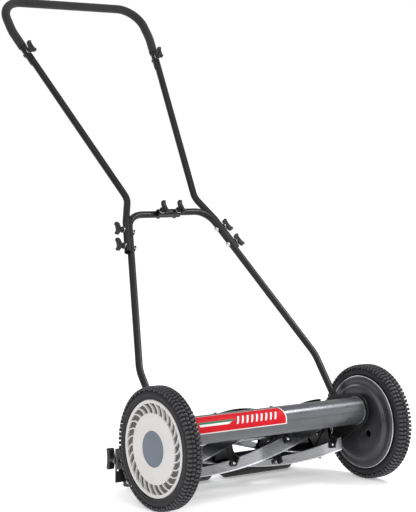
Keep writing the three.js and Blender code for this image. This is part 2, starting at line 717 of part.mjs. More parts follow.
// Each arm ends in a tab bent over the outer face of its blade, at the trailing edge.
function spider(x) {
  const [left, right] = [x - SPIDER_THICKNESS / 2, x + SPIDER_THICKNESS / 2];
  const reach = TAB_HALF + 4;
  const gap = 1.5 * CLEARANCE;
  let body = slab(circleShape(REEL_RADIUS - 2), left, right, 1, 14);
  for (let k = 0; k < BLADE_COUNT; k += 1) {
    const armAngle = bladeEdgeAngle(k, x) + bladeWrap();
    const hollow = reelPoint(SPIDER_HOLLOW_CENTRE, armAngle + rad(180 / BLADE_COUNT));
    body = cut(body, crossBar(hollow.x, hollow.y, SPIDER_HOLLOW_RADIUS, 1, x - reach, x + reach, 14));
    const outside = (at) => bladeSection(k, at, BLADE_WIDTH, 0, 1, 0);
    body = cut(body, twistedBar(outside, x - reach, x + reach, 1));
    const level = (at) => x + (at - x) / 1e6; // the tab is flat
    const tab = (at) => bladeSection(k, level(at), gap + TAB_THICKNESS, -gap, TAB_REACH - BLADE_WIDTH, TAB_ROOT);
    body = body.add(twistedBar(tab, x - TAB_HALF, x + TAB_HALF, 1));
  }
  for (let k = 0; k < BLADE_COUNT; k += 1) {
    const envelope = (at) => bladeSection(k, at, gap, BLADE_THICKNESS + gap, 1, gap);
    body = cut(body, twistedBar(envelope, -BLADE_HALF, BLADE_HALF, BLADE_STEPS));
  }
  const hub = turned([
    [0, x - SPIDER_HUB_HALF],
    [SPIDER_HUB_RADIUS, x - SPIDER_HUB_HALF],
    [SPIDER_HUB_RADIUS, x + SPIDER_HUB_HALF],
    [0, x + SPIDER_HUB_HALF],
  ], 1, 16);
  const [from, to] = [x - 2 * SPIDER_HUB_HALF, x + 2 * SPIDER_HUB_HALF];
  return cut(body.add(hub), crossBar(0, 0, REEL_SHAFT_RADIUS + CLEARANCE, 1, from, to, SHAFT_SIDES));
}

function reelShaft() {
  return crossBar(0, 0, REEL_SHAFT_RADIUS, 1, 1 - WEB_IN, WEB_IN - 1, SHAFT_SIDES);
}

function pinion(side) {
  const blank = slab(new THREE.Shape(pinionTeeth(MESH_ANGLE)), GEAR_IN, GEAR_IN + GEAR_FACE, side);
  return cut(blank, crossBar(0, 0, REEL_SHAFT_RADIUS + CLEARANCE, side, RIM_IN - 9, RIM_OUT, SHAFT_SIDES));
}

function bearing(side) {
  return turned([
    [REEL_SHAFT_RADIUS + CLEARANCE, PLATE_IN - BEARING_COLLAR],
    [BEARING_RADIUS + 3, PLATE_IN - BEARING_COLLAR],
    [BEARING_RADIUS + 3, PLATE_IN - CLEARANCE],
    [BEARING_RADIUS, PLATE_IN - CLEARANCE],
    [BEARING_RADIUS, PLATE_OUT + 1],
    [REEL_SHAFT_RADIUS + CLEARANCE, PLATE_OUT + 1],
  ], side, 18);
}

// ---------------------------------------------------------------------------------------------
// Bed knife and cutter bar, from the knife's edge back
// ---------------------------------------------------------------------------------------------
function polygon(points) {
  return new THREE.Shape(points.map(([y, z]) => new THREE.Vector2(y, z)));
}

function bedKnife() {
  const edge = KNIFE_EDGE_Y;
  const back = edge + KNIFE_DEPTH;
  const section = polygon([
    [edge, KNIFE_TOP_Z],
    [edge + 2.5, KNIFE_TOP_Z - KNIFE_THICKNESS],
    [back, KNIFE_TOP_Z - KNIFE_THICKNESS],
    [back, KNIFE_TOP_Z],
  ]);
  return slab(section, -SPAN_HALF, SPAN_HALF);
}

function cutterBar() {
  const top = KNIFE_TOP_Z - KNIFE_THICKNESS - CLEARANCE;
  const front = KNIFE_EDGE_Y + 7;
  const back = front + CUTTER_BAR_DEPTH + CUTTER_BAR_THICKNESS;
  const upright = back - CUTTER_BAR_THICKNESS;
  const section = polygon([
    [front, top - CUTTER_BAR_THICKNESS],
    [back, top - CUTTER_BAR_THICKNESS],
    [back, top + CUTTER_BAR_HEIGHT],
    [upright, top + CUTTER_BAR_HEIGHT],
    [upright, top],
    [front, top],
  ]);
  return slab(section, -SPAN_HALF, SPAN_HALF);
}

// ---------------------------------------------------------------------------------------------
// Rear roller
// ---------------------------------------------------------------------------------------------
const EAR_OUT = PLATE_IN - 2 * CLEARANCE;
const EAR_IN = EAR_OUT - BRACKET_THICKNESS;
const ROLLER_OUT = PLATE_IN - ROLLER_END_GAP;

function roller(side) {
  return turned([
    [ROLLER_SHAFT_RADIUS + CLEARANCE, ROLLER_CENTRE_GAP],
    [ROLLER_END_RADIUS, ROLLER_CENTRE_GAP],
    [ROLLER_RADIUS, ROLLER_CENTRE_GAP + ROLLER_TAPER],
    [ROLLER_RADIUS, ROLLER_OUT - ROLLER_TAPER],
    [ROLLER_END_RADIUS, ROLLER_OUT],
    [ROLLER_SHAFT_RADIUS + CLEARANCE, ROLLER_OUT],
  ], side, 20);
}

function rollerShaft() {
  return crossBar(0, 0, ROLLER_SHAFT_RADIUS, 1, -EAR_OUT, EAR_OUT, SHAFT_SIDES);
}

// An angle: its rear plate slides on the back of the side plate's flange, its ear runs forward
// inside the side plate.
function rollerBracket(side) {
  const back = FLANGE_BACK_Y + CLEARANCE;
  const rearFace = back + BRACKET_THICKNESS;
  const plateTop = ADJUST_KNOB_Z + ADJUST_DOWN + 11;
  const rear = box(span(side, EAR_IN, FLANGE_OUT_X), [back, rearFace], [BRACKET_BOTTOM, plateTop]);
  const earShape = hull([
    [ROLLER_Y, ROLLER_RADIUS, EAR_RADIUS],
    [back, ROLLER_RADIUS, EAR_RADIUS],
    [back, ADJUST_KNOB_Z - FLANGE_ABOVE_KNOB, EAR_RADIUS / 2],
    [ROLLER_Y, ROLLER_RADIUS + EAR_RADIUS, EAR_RADIUS / 2],
  ], 4);
  const behind = new THREE.Shape([
    new THREE.Vector2(rearFace, -ROLLER_RADIUS),
    new THREE.Vector2(rearFace + 2 * EAR_RADIUS, -ROLLER_RADIUS),
    new THREE.Vector2(rearFace + 2 * EAR_RADIUS, plateTop),
    new THREE.Vector2(rearFace, plateTop),
  ]);
  const ear = cut(slab(earShape, EAR_IN, EAR_OUT, side), slab(behind, EAR_IN - 1, EAR_OUT + 1, side));
  const x = side * adjustKnobX();
  const slotEnds = [-ADJUST_UP, ADJUST_DOWN].map((shift) => bar(
    new THREE.Vector3(x, back - DRILL_REACH, ADJUST_KNOB_Z + shift),
    new THREE.Vector3(x, rearFace + DRILL_REACH, ADJUST_KNOB_Z + shift),
    BORE,
  ));
  const slotMiddle = box(
    [x - BORE, x + BORE],
    [back - DRILL_REACH, rearFace + DRILL_REACH],
    [ADJUST_KNOB_Z - ADJUST_UP, ADJUST_KNOB_Z + ADJUST_DOWN],
  );
  const hole = ROLLER_SHAFT_RADIUS + CLEARANCE;
  const [from, to] = [EAR_IN - DRILL_REACH, EAR_OUT + DRILL_REACH];
  return cut(
    rear.add(ear),
    ...slotEnds,
    slotMiddle,
    crossBar(ROLLER_Y, ROLLER_RADIUS, hole, side, from, to, SHAFT_SIDES),
  );
}

// ---------------------------------------------------------------------------------------------
// Knobs and bolts: local +Y runs along the bolt, away from the joint
// ---------------------------------------------------------------------------------------------
function lathed(profile, segments) {
  return solid(new THREE.LatheGeometry(profile.map(([r, y]) => new THREE.Vector2(r, y)), segments));
}

// Two blunt ears either side of the stem.
function wing(width, thickness, bottom, top) {
  const half = width / 2;
  const waist = (bottom + top) / 2;
  const shape = new THREE.Shape([
    new THREE.Vector2(-KNOB_TOP_RADIUS, bottom),
    new THREE.Vector2(KNOB_TOP_RADIUS, bottom),
    new THREE.Vector2(half, waist - 3),
    new THREE.Vector2(half, top),
    new THREE.Vector2(KNOB_TOP_RADIUS, top - 2),
    new THREE.Vector2(-KNOB_TOP_RADIUS, top - 2),
    new THREE.Vector2(-half, top),
    new THREE.Vector2(-half, waist - 3),
  ]);
  const geometry = new THREE.ExtrudeGeometry(shape, { depth: thickness, bevelEnabled: false });
  geometry.translate(0, 0, -thickness / 2);
  return solid(geometry);
}

function wingKnob() {
  const rim = 3.5;
  const stem = lathed([
    [0, 0],
    [KNOB_RADIUS, 0],
    [KNOB_RADIUS, rim],
    [KNOB_TOP_RADIUS, rim + 8],
    [KNOB_TOP_RADIUS, KNOB_HEIGHT - 4],
    [0, KNOB_HEIGHT - 4],
  ], 8);
  const bore = lathed([[0, -1], [BORE, -1], [BORE, BOLT_TAIL + 1], [0, BOLT_TAIL + 1]], 8);
  return cut(stem.add(wing(WING_WIDTH, WING_THICKNESS, rim + 5, KNOB_HEIGHT)), bore);
}

function adjustKnob() {
  const studIn = FLANGE_THICKNESS + BRACKET_THICKNESS + 2 * CLEARANCE + 4;
  const stud = lathed([[0, -studIn], [BOLT_RADIUS, -studIn], [BOLT_RADIUS, 1], [0, 1]], 12);
  const rim = BIG_KNOB_RADIUS + 1.8;
  const bottom = BIG_KNOB_HEIGHT - BIG_WING_THICKNESS;
  const stem = lathed([
    [0, 0],
    [rim, 0],
    [rim, 3],
    [BIG_KNOB_RADIUS, 6],
    [BIG_KNOB_RADIUS, bottom + 6],
    [0, bottom + 6],
  ], 14);
  return joined(stud, stem, wing(BIG_WING_WIDTH, BIG_WING_THICKNESS, bottom, BIG_KNOB_HEIGHT));
}

function carriageBolt(length) {
  return lathed([
    [0, -BOLT_HEAD_HEIGHT],
    [BOLT_HEAD_RADIUS * 0.6, -BOLT_HEAD_HEIGHT * 0.8],
    [BOLT_HEAD_RADIUS, -BOLT_HEAD_HEIGHT / 10],
    [BOLT_HEAD_RADIUS, 0],
    [BOLT_RADIUS, 0],
    [BOLT_RADIUS, length],
    [0, length],
  ], 8);
}

// ---------------------------------------------------------------------------------------------
// Handle
// ---------------------------------------------------------------------------------------------
function handleY(z) {
  const lower = PIVOT_Y + LOWER_LEAN * (Math.min(z, WAIST_Z) - PIVOT_Z);
  return lower + UPPER_LEAN * Math.max(z - WAIST_Z, 0);
}

// A point of the handle's surface, x out from the middle on one side.
function onHandle(side, x, z) {
  return new THREE.Vector3(side * x, handleY(z), z);
}

// The direction square to the handle's surface, towards the front of the mower.
function handleFront(lean) {
  return new THREE.Vector3(0, -1, lean).normalize();
}
const ARCH_FRONT = handleFront(LOWER_LEAN);
const TOP_FRONT = handleFront(UPPER_LEAN);

function lowerLineX(z) {
  return LOWER_OUT_X + SLOPE_IN * (LOWER_BEND_Z - z);
}

// In the handle's surface, square to a lower tube, towards the outside.
function lowerOutward(side) {
  const top = onHandle(side, lowerLineX(WAIST_Z), WAIST_Z);
  const along = top.sub(onHandle(side, LOWER_OUT_X, LOWER_BEND_Z)).normalize();
  return along.cross(ARCH_FRONT).multiplyScalar(side).normalize();
}

// The right tube's end lies in front at the arch, the left tube's end behind.
function lowerCorners(side) {
  const shift = ARCH_FRONT.clone().multiplyScalar(side * ARCH_OFFSET);
  const shoulder = onHandle(side, lowerLineX(ARCH_Z), ARCH_Z).add(shift);
  const end = onHandle(side, -ARCH_OVERLAP, ARCH_Z).add(shift);
  return [
    onHandle(side, LOWER_OUT_X, PIVOT_Z + LOWER_START),
    onHandle(side, LOWER_OUT_X, LOWER_BEND_Z),
    shoulder,
    end,
  ];
}
const LOWER_RADII = [90, 50]; // at the pivot bend and at the arch

function lowerTube(side) {
  const corners = lowerCorners(side);
  const outer = rod(corners, LOWER_RADII, HANDLE_TUBE_RADIUS);
  const boreCorners = corners.map((corner) => corner.clone());
  boreCorners[0] = onHandle(side, LOWER_OUT_X, PIVOT_Z + LOWER_START + 6);
  boreCorners[3].x = side * (ARCH_OVERLAP + 6);
  const bore = rod(boreCorners, LOWER_RADII, HANDLE_TUBE_RADIUS - HANDLE_WALL, BORE_SIDES);
  const eyeEnd = onHandle(side, LOWER_OUT_X, PIVOT_Z + LOWER_START + 10);
  const eyeShape = hull([
    [PIVOT_Y, PIVOT_Z, EYE_RADIUS],
    [eyeEnd.y, eyeEnd.z, HANDLE_TUBE_RADIUS - HANDLE_WALL],
  ], 8);
  const [eyeIn, eyeOut] = [LOWER_OUT_X - EYE_THICKNESS / 2, LOWER_OUT_X + EYE_THICKNESS / 2];
  const eye = slab(eyeShape, eyeIn, eyeOut, side);
  const pivotHole = crossBar(PIVOT_Y, PIVOT_Z, PIVOT_RADIUS + CLEARANCE, side, eyeIn - 5, eyeOut + 5, 12);
  const body = cut(outer, bore, archCut(side)).add(eye);
  const joints = [...sideBolts(side), ...archBolts()];
  return cut(body, pivotHole, ...joints.map((bolt) => bar(bolt.from, bolt.to, BORE)));
}

// Each arch end is pressed flat where the two lie together.
function archCut(side) {
  const depth = 4 * HANDLE_TUBE_RADIUS;
  const geometry = new THREE.BoxGeometry(2 * ARCH_OVERLAP + 5, 2 * depth, depth);
  geometry.translate(0, 0, (CLEARANCE - depth) / 2);
  const turn = new THREE.Matrix4().makeBasis(
    new THREE.Vector3(side, 0, 0),
    ARCH_FRONT.clone().multiplyScalar(side).cross(new THREE.Vector3(side, 0, 0)),
    ARCH_FRONT.clone().multiplyScalar(side),
  );
  geometry.applyMatrix4(turn);
  const middle = onHandle(1, 0, ARCH_Z);
  geometry.translate(0, middle.y, middle.z);
  return solid(geometry);
}

function archBolts() {
  const reach = ARCH_OFFSET + HANDLE_TUBE_RADIUS + CLEARANCE;
  return ARCH_BOLT_XS.map((x) => {
    const centre = onHandle(1, x, ARCH_Z);
    return {
      from: centre.clone().addScaledVector(ARCH_FRONT, -reach),
      to: centre.clone().addScaledVector(ARCH_FRONT, reach),
      axis: ARCH_FRONT,
      wing: new THREE.Vector3(0, 1, LOWER_LEAN),
    };
  });
}

function sideBolts(side) {
  const outward = lowerOutward(side);
  const wing = onHandle(side, lowerLineX(WAIST_Z), WAIST_Z).sub(onHandle(side, LOWER_OUT_X, LOWER_BEND_Z));
  return SIDE_BOLT_ZS.map((z) => {
    const centre = onHandle(side, lowerLineX(z), z);
    return {
      from: centre.clone().addScaledVector(outward, -HANDLE_TUBE_RADIUS - CLEARANCE),
      to: centre.clone().addScaledVector(outward, SIDE_NEST + HANDLE_TUBE_RADIUS + CLEARANCE),
      axis: outward,
      wing,
    };
  });
}

function topBolt(side) {
  const z = UPPER_TOP_Z - TOP_BOLT_DROP;
  const centre = onHandle(side, upperLineX(z), z);
  return {
    from: centre.clone().addScaledVector(TOP_FRONT, -TOP_NEST - HANDLE_TUBE_RADIUS - CLEARANCE),
    to: centre.clone().addScaledVector(TOP_FRONT, HANDLE_TUBE_RADIUS + CLEARANCE),
    axis: TOP_FRONT,
    wing: centre.clone().sub(onHandle(side, WAIST_X, WAIST_BEND_Z)),
  };
}

function upperLineX(z) {
  return WAIST_X + ((UPPER_TOP_X - WAIST_X) * (z - WAIST_BEND_Z)) / (UPPER_TOP_Z - WAIST_BEND_Z);
}

const UPPER_RADII = [40, 60]; // at the waist and above the side joint
const NEST_RADIUS = HANDLE_TUBE_RADIUS + 2 * CLEARANCE;

function upperCorners(side) {
  const outward = lowerOutward(side).multiplyScalar(SIDE_NEST);
  return [
    onHandle(side, upperLineX(UPPER_TOP_Z), UPPER_TOP_Z),
    onHandle(side, WAIST_X, WAIST_BEND_Z),
    onHandle(side, lowerLineX(SIDE_BEND_Z), SIDE_BEND_Z).add(outward),
    onHandle(side, lowerLineX(UPPER_END_Z), UPPER_END_Z).add(outward),
  ];
}

// Its ends are pressed to nest on the lower tube and on the grip bar.
function upperTube(side) {
  const corners = upperCorners(side);
  const outer = rod(corners, UPPER_RADII, HANDLE_TUBE_RADIUS);
  const bore = rod(lengthened(corners, 3), UPPER_RADII, HANDLE_TUBE_RADIUS - HANDLE_WALL, BORE_SIDES);
  const lower = rod(lowerCorners(side), LOWER_RADII, NEST_RADIUS);
  const grip = rod(lengthened(gripCorners(side), 3), GRIP_RADII, NEST_RADIUS);
  const holes = [...sideBolts(side), topBolt(side)].map((bolt) => bar(bolt.from, bolt.to, BORE));
  return cut(outer, bore, lower, grip, ...holes);
}

// Half of the grip bar, from its lower end to the middle of the top.
function gripCorners(side) {
  const shift = TOP_FRONT.clone().multiplyScalar(-TOP_NEST);
  return [
    onHandle(side, upperLineX(GRIP_END_Z), GRIP_END_Z).add(shift),
    onHandle(side, GRIP_HALF_WIDTH, GRIP_KNEE_Z).add(shift),
    onHandle(side, GRIP_HALF_WIDTH, GRIP_TOP_Z),
    onHandle(side, 0, GRIP_TOP_Z),
  ];
}

const GRIP_RADII = [GRIP_KNEE_RADIUS, GRIP_CORNER_RADIUS];

function wholeGrip(cornersOf, radii, radius, longer = 0, sides = TUBE_SIDES) {
  const left = cornersOf(-1).slice(0, -1);
  const right = cornersOf(1).reverse().slice(1);
  const corners = lengthened([...left, ...right], longer);
  return rod(corners, [...radii, ...[...radii].reverse()], radius, sides);
}

function gripBar() {
  const outer = wholeGrip(gripCorners, GRIP_RADII, HANDLE_TUBE_RADIUS);
  const bore = wholeGrip(gripCorners, GRIP_RADII, HANDLE_TUBE_RADIUS - HANDLE_WALL, 3, BORE_SIDES);
  const holes = [-1, 1].map((side) => bar(topBolt(side).from, topBolt(side).to, BORE));
  return cut(outer, bore, ...holes);
}

// The foam follows the grip bar from the first corner above its ends.
function foamCorners(side) {
  const [end, knee, corner, middle] = gripCorners(side);
  const share = (FOAM_END_Z - end.z) / (knee.z - end.z);
  return [end.clone().lerp(knee, share), knee, corner, middle];
}

function foamGrip() {
  const outer = wholeGrip(foamCorners, GRIP_RADII, FOAM_RADIUS, 0, 10);
  const bore = wholeGrip(foamCorners, GRIP_RADII, HANDLE_TUBE_RADIUS + CLEARANCE, 3);
  return cut(outer, bore);
}

// ---------------------------------------------------------------------------------------------
// Assembly
// ---------------------------------------------------------------------------------------------
const mower = new THREE.Group();
mower.position.set(0, AXLE_Y, 0);

const wheels = new THREE.Group();
wheels.position.set(0, 0, AXLE_Z);
mower.add(wheels);

const reel = new THREE.Group();
reel.position.set(0, REEL_Y, REEL_Z);
mower.add(reel);

const rearRoller = new THREE.Group();
rearRoller.position.set(0, ROLLER_Y, ROLLER_RADIUS);
mower.add(rearRoller);

function addFrame() {
  addMesh(mower, 'cross_tube', crossTube(), GUNMETAL).position.set(0, TUBE_Y, TUBE_Z);
  addMesh(mower, 'cutter_bar', cutterBar(), FRAME_BLACK);
  addMesh(mower, 'bed_knife', bedKnife(), STEEL);
  bothSides((side) => addMesh(mower, `${sideName(side)}_side_plate`, sidePlate(side), FRAME_BLACK));
}

function addWheel(side) {
  const name = sideName(side);
  addMesh(wheels, `${name}_tyre`, tyre(side), RUBBER);
  addMesh(wheels, `${name}_wheel_rim`, wheelRim(side), BLACK_PLASTIC);
  addMesh(wheels, `${name}_hub_cap`, hubCap(side), CAP_GREY);
  addMesh(wheels, `${name}_hub_centre`, hubCentre(side), CENTRE_BLUE);
  addMesh(wheels, `${name}_axle`, axle(side), STEEL);
  addMesh(wheels, `${name}_gear_shield`, shield(side), GUNMETAL);
}

function addReel() {
  addMesh(reel, 'reel_shaft', reelShaft(), STEEL);
  for (let k = 0; k < BLADE_COUNT; k += 1) {
    addMesh(reel, `reel_blade_${k + 1}`, blade(k), STEEL);
  }
  for (let i = 0; i < SPIDER_COUNT; i += 1) {
    const x = (i - (SPIDER_COUNT - 1) / 2) * SPIDER_PITCH;
    addMesh(reel, `reel_spider_${i + 1}`, spider(x), FRAME_BLACK);
  }
  bothSides((side) => {
    addMesh(reel, `${sideName(side)}_pinion`, pinion(side), STEEL);
    addMesh(reel, `${sideName(side)}_reel_bearing`, bearing(side), ZINC);
  });
}

function addRoller() {
  addMesh(rearRoller, 'roller_shaft', rollerShaft(), ZINC);
  bothSides((side) => {
    const name = sideName(side);
    addMesh(rearRoller, `${name}_roller`, roller(side), BLACK_PLASTIC);
    addMesh(mower, `${name}_roller_bracket`, rollerBracket(side), FRAME_BLACK);
    const knob = addMesh(mower, `${name}_height_knob`, adjustKnob(), BLACK_PLASTIC);
    const seat = FLANGE_BACK_Y + BRACKET_THICKNESS + 2 * CLEARANCE;
    knob.position.set(side * adjustKnobX(), seat, ADJUST_KNOB_Z);
    knob.rotation.y = Math.PI / 2;
  });
}

// A carriage bolt through a joint, with its wing knob on the far end.
function addClamp(name, bolt) {
  const clamp = new THREE.Group();
  clamp.position.copy(bolt.from);
  const across = bolt.wing.clone().cross(bolt.axis).normalize();
  const wingLine = bolt.axis.clone().cross(across);
  clamp.quaternion.setFromRotationMatrix(new THREE.Matrix4().makeBasis(wingLine, bolt.axis, across));
  const grip = bolt.to.distanceTo(bolt.from);
  addMesh(clamp, `${name}_bolt`, carriageBolt(grip + BOLT_TAIL), ZINC);
  const knob = addMesh(clamp, `${name}_knob`, wingKnob(), BLACK_PLASTIC);
  knob.position.y = grip;
  mower.add(clamp);
}

function addHandle() {
  addMesh(mower, 'grip_bar', gripBar(), TUBE_BLACK);
  addMesh(mower, 'foam_grip', foamGrip(), FOAM_BLACK);
  bothSides((side) => {
    const name = sideName(side);
    addMesh(mower, `${name}_upper_tube`, upperTube(side), TUBE_BLACK);
    addMesh(mower, `${name}_lower_tube`, lowerTube(side), TUBE_BLACK);
    addClamp(`${name}_grip`, topBolt(side));
    sideBolts(side).forEach((bolt, i) => addClamp(`${name}_${['high', 'low'][i]}`, bolt));
  });
  archBolts().forEach((bolt, i) => addClamp(`arch_${['left', 'right'][i]}`, bolt));
}

addFrame();
bothSides(addWheel);
addReel();
addRoller();
addHandle();

const part = new THREE.Group();
part.add(mower);

export default part;
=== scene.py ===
import math
import random

import bmesh
import bpy
import numpy as np
from mathutils import Matrix, Vector


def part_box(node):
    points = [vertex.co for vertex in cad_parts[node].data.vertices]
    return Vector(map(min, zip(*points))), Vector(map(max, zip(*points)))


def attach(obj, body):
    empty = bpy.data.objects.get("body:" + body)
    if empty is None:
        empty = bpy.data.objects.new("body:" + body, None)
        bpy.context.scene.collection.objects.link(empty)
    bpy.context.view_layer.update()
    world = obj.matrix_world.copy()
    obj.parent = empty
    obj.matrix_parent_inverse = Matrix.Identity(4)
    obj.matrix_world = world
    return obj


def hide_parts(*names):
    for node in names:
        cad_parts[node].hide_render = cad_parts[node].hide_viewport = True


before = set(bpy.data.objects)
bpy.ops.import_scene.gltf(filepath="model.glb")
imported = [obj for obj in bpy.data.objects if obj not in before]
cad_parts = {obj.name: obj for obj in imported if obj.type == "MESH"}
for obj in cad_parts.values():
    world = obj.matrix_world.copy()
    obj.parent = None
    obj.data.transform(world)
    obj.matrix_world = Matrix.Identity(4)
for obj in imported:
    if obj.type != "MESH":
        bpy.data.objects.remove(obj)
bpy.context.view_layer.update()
MM = 0.001
random.seed(7)

# --- Places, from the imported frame, in millimetres ---


def centre_of(node):
    low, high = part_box(node)
    return np.array((low + high) / 2) / MM


def reach_of(node):
    low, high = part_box(node)
    return np.array(low) / MM, np.array(high) / MM


WHEEL = centre_of("left_tyre")
TUBE = centre_of("cross_tube")
REEL = centre_of("reel_shaft")
ROLLER = centre_of("roller_shaft")
AXLE_Y = WHEEL[1]
AXLE_Z = WHEEL[2]
WHEEL_IN = reach_of("right_tyre")[0][0]
WHEEL_OUT = reach_of("right_tyre")[1][0]
TYRE_RADIUS = AXLE_Z
TUBE_RADIUS = reach_of("cross_tube")[1][1] - TUBE[1]
TUBE_HALF = reach_of("cross_tube")[1][0]
BLADE_HALF = reach_of("reel_blade_1")[1][0]

# Sizes in millimetres, as in the CAD part
CLEARANCE = 0.3
PLATE_IN = BLADE_HALF + 8
PLATE_OUT = PLATE_IN + 4
REEL_RADIUS = 67.2
BLADE_COUNT = 5
BLADE_WIDTH = 29
BLADE_THICKNESS = 2.6
BLADE_INNER_RADIUS = 52
BLADE_TWIST = 0.315
BLADE_PHASE = -37.4
SPIDER_PITCH = 136
SPIDER_THICKNESS = 3
HOLLOW_RADIUS = 25
HOLLOW_CENTRE = 60
TYRE_BORE = 104.3
CAP_RADIUS = 100.1
CAP_IN = WHEEL_OUT - 4.2
CENTRE_RADIUS = 36.5
VENT_COUNT = 28
VENT_INNER = 73
VENT_OUTER = 92.5
SHIELD_RADIUS = 103
SHIELD_STEP_RADIUS = 80
SHIELD_IN = PLATE_OUT + 13.2
SHIELD_RIM = WHEEL_IN + 1
SHEET = 2.5
ROLLER_RADIUS = 22
FLANGE_BACK = AXLE_Y + 199
KNOB_SEAT = FLANGE_BACK + 4.1
KNOB_Z = 67
KNOB_X = PLATE_OUT + 10.5
HANDLE_RADIUS = 7.95
HANDLE_WALL = 1.3
FOAM_RADIUS = 10.6
FOAM_EDGE = 1.9
PIVOT = np.array([243, AXLE_Y + 52, 160])  # out, back and up
PIVOT_HEAD_OUT = 248.5
LOWER_SLOPE = 0.74
UPPER_SLOPE = 0.84
ARCH_FRONT = np.array([0, -1, LOWER_SLOPE]) / math.hypot(1, LOWER_SLOPE)
TOP_FRONT = np.array([0, -1, UPPER_SLOPE]) / math.hypot(1, UPPER_SLOPE)
ARCH_OVERLAP = 32
ARCH_OFFSET = 3.6
ARCH_GRIP = 11.85
SIDE_NEST = 9.5
TOP_NEST = 2.5
LOWER_RADII = [90, 50]
GRIP_RADII = [110, 58, 58, 110]
LOWER_OUT_X = 243
LOWER_BEND_Z = 267
ARCH_Z = 585
JOIN_Z = 600
UPPER_BEND = (95, 618)
UPPER_END_Z = 971
GRIP_HALF = 199.5
GRIP_BEND_Z = 1012
GRIP_TOP_Z = 1086
GRIP_START_Z = 936
FOAM_START_Z = 973

# --- Materials ---


def new_material(name):
    mat = bpy.data.materials.new(name)
    mat.use_nodes = True
    nodes = mat.node_tree.nodes
    return mat, nodes, mat.node_tree.links, nodes["Principled BSDF"]


def coordinates(nodes, links, scale=(1, 1, 1)):
    where = nodes.new("ShaderNodeTexCoord")
    mapping = nodes.new("ShaderNodeMapping")
    mapping.inputs["Scale"].default_value = scale
    links.new(where.outputs["Object"], mapping.inputs["Vector"])
    return mapping.outputs["Vector"]


def noise(nodes, links, vector, scale, detail=4, rough=0.55):
    node = nodes.new("ShaderNodeTexNoise")
    node.inputs["Scale"].default_value = scale
    node.inputs["Detail"].default_value = detail
    node.inputs["Roughness"].default_value = rough
    links.new(vector, node.inputs["Vector"])
    return node.outputs["Fac"]


def ramp(nodes, links, value, stops):
    node = nodes.new("ShaderNodeValToRGB")
    points = node.color_ramp.elements
    while len(points) < len(stops):
        points.new(0.5)
    for point, (at, colour) in zip(points, stops):
        point.position = at
        point.color = (*colour, 1)
    links.new(value, node.inputs["Fac"])
    return node.outputs["Color"]


def grey(value):
    return (value, value, value)


def levels(nodes, links, value, low, high):
    node = nodes.new("ShaderNodeMapRange")
    node.inputs["From Min"].default_value = 0.3
    node.inputs["From Max"].default_value = 0.7
    node.inputs["To Min"].default_value = low
    node.inputs["To Max"].default_value = high
    links.new(value, node.inputs["Value"])
    return node.outputs["Result"]


def bump(nodes, links, shader, height, strength, distance, below=None):
    node = nodes.new("ShaderNodeBump")
    node.inputs["Strength"].default_value = strength
    node.inputs["Distance"].default_value = distance
    links.new(height, node.inputs["Height"])
    if below is not None:
        links.new(below, node.inputs["Normal"])
    links.new(node.outputs["Normal"], shader.inputs["Normal"])
    return node.outputs["Normal"]


def mixed(nodes, links, share, first, second):
    node = nodes.new("ShaderNodeMix")
    node.data_type = "RGBA"
    links.new(share, node.inputs["Factor"])
    for socket, colour in ((node.inputs[6], first), (node.inputs[7], second)):
        if isinstance(colour, tuple):
            socket.default_value = (*colour, 1)
        else:
            links.new(colour, socket)
    return node.outputs[2]


def edges(nodes, links, low, high):
    """A share that is 1 on sharp outer edges, from the mesh's own pointiness."""
    geometry = nodes.new("ShaderNodeNewGeometry")
    node = nodes.new("ShaderNodeMapRange")
    node.inputs["From Min"].default_value = low
    node.inputs["From Max"].default_value = high
    links.new(geometry.outputs["Pointiness"], node.inputs["Value"])
    return node.outputs["Result"]


def surface(name, dark, light, roughness, metallic=0.0, grain=900, grain_depth=0.00008,
            cloud=18, coat=0.0, worn=None, stretch=(1, 1, 1), specular=0.4, spread=0.1, depth=0.25):
    """Clouded colour, uneven gloss, a fine grain and, where asked, worn edges."""
    mat, nodes, links, shader = new_material(name)
    vector = coordinates(nodes, links, stretch)
    clouds = noise(nodes, links, vector, cloud, 6, 0.6)
    fine = noise(nodes, links, vector, grain, 3, 0.6)
    colour = ramp(nodes, links, clouds, [(0.3, dark), (0.7, light)])
    speckle = ramp(nodes, links, fine, [(0.35, grey(1 - depth)), (0.7, grey(1))])
    blend = nodes.new("ShaderNodeMix")
    blend.data_type = "RGBA"
    blend.blend_type = "MULTIPLY"
    blend.inputs["Factor"].default_value = 1
    links.new(colour, blend.inputs[6])
    links.new(speckle, blend.inputs[7])
    colour = blend.outputs[2]
    if worn is not None:
        colour = mixed(nodes, links, edges(nodes, links, 0.56, 0.64), colour, worn)
    links.new(colour, shader.inputs["Base Color"])
    gloss = levels(nodes, links, clouds, roughness - spread, roughness + spread)
    links.new(gloss, shader.inputs["Roughness"])
    bump(nodes, links, shader, fine, 0.6, grain_depth)
    shader.inputs["Metallic"].default_value = metallic
    shader.inputs["Coat Weight"].default_value = coat
    shader.inputs["Coat Roughness"].default_value = 0.18
    shader.inputs["Specular IOR Level"].default_value = specular
    return mat


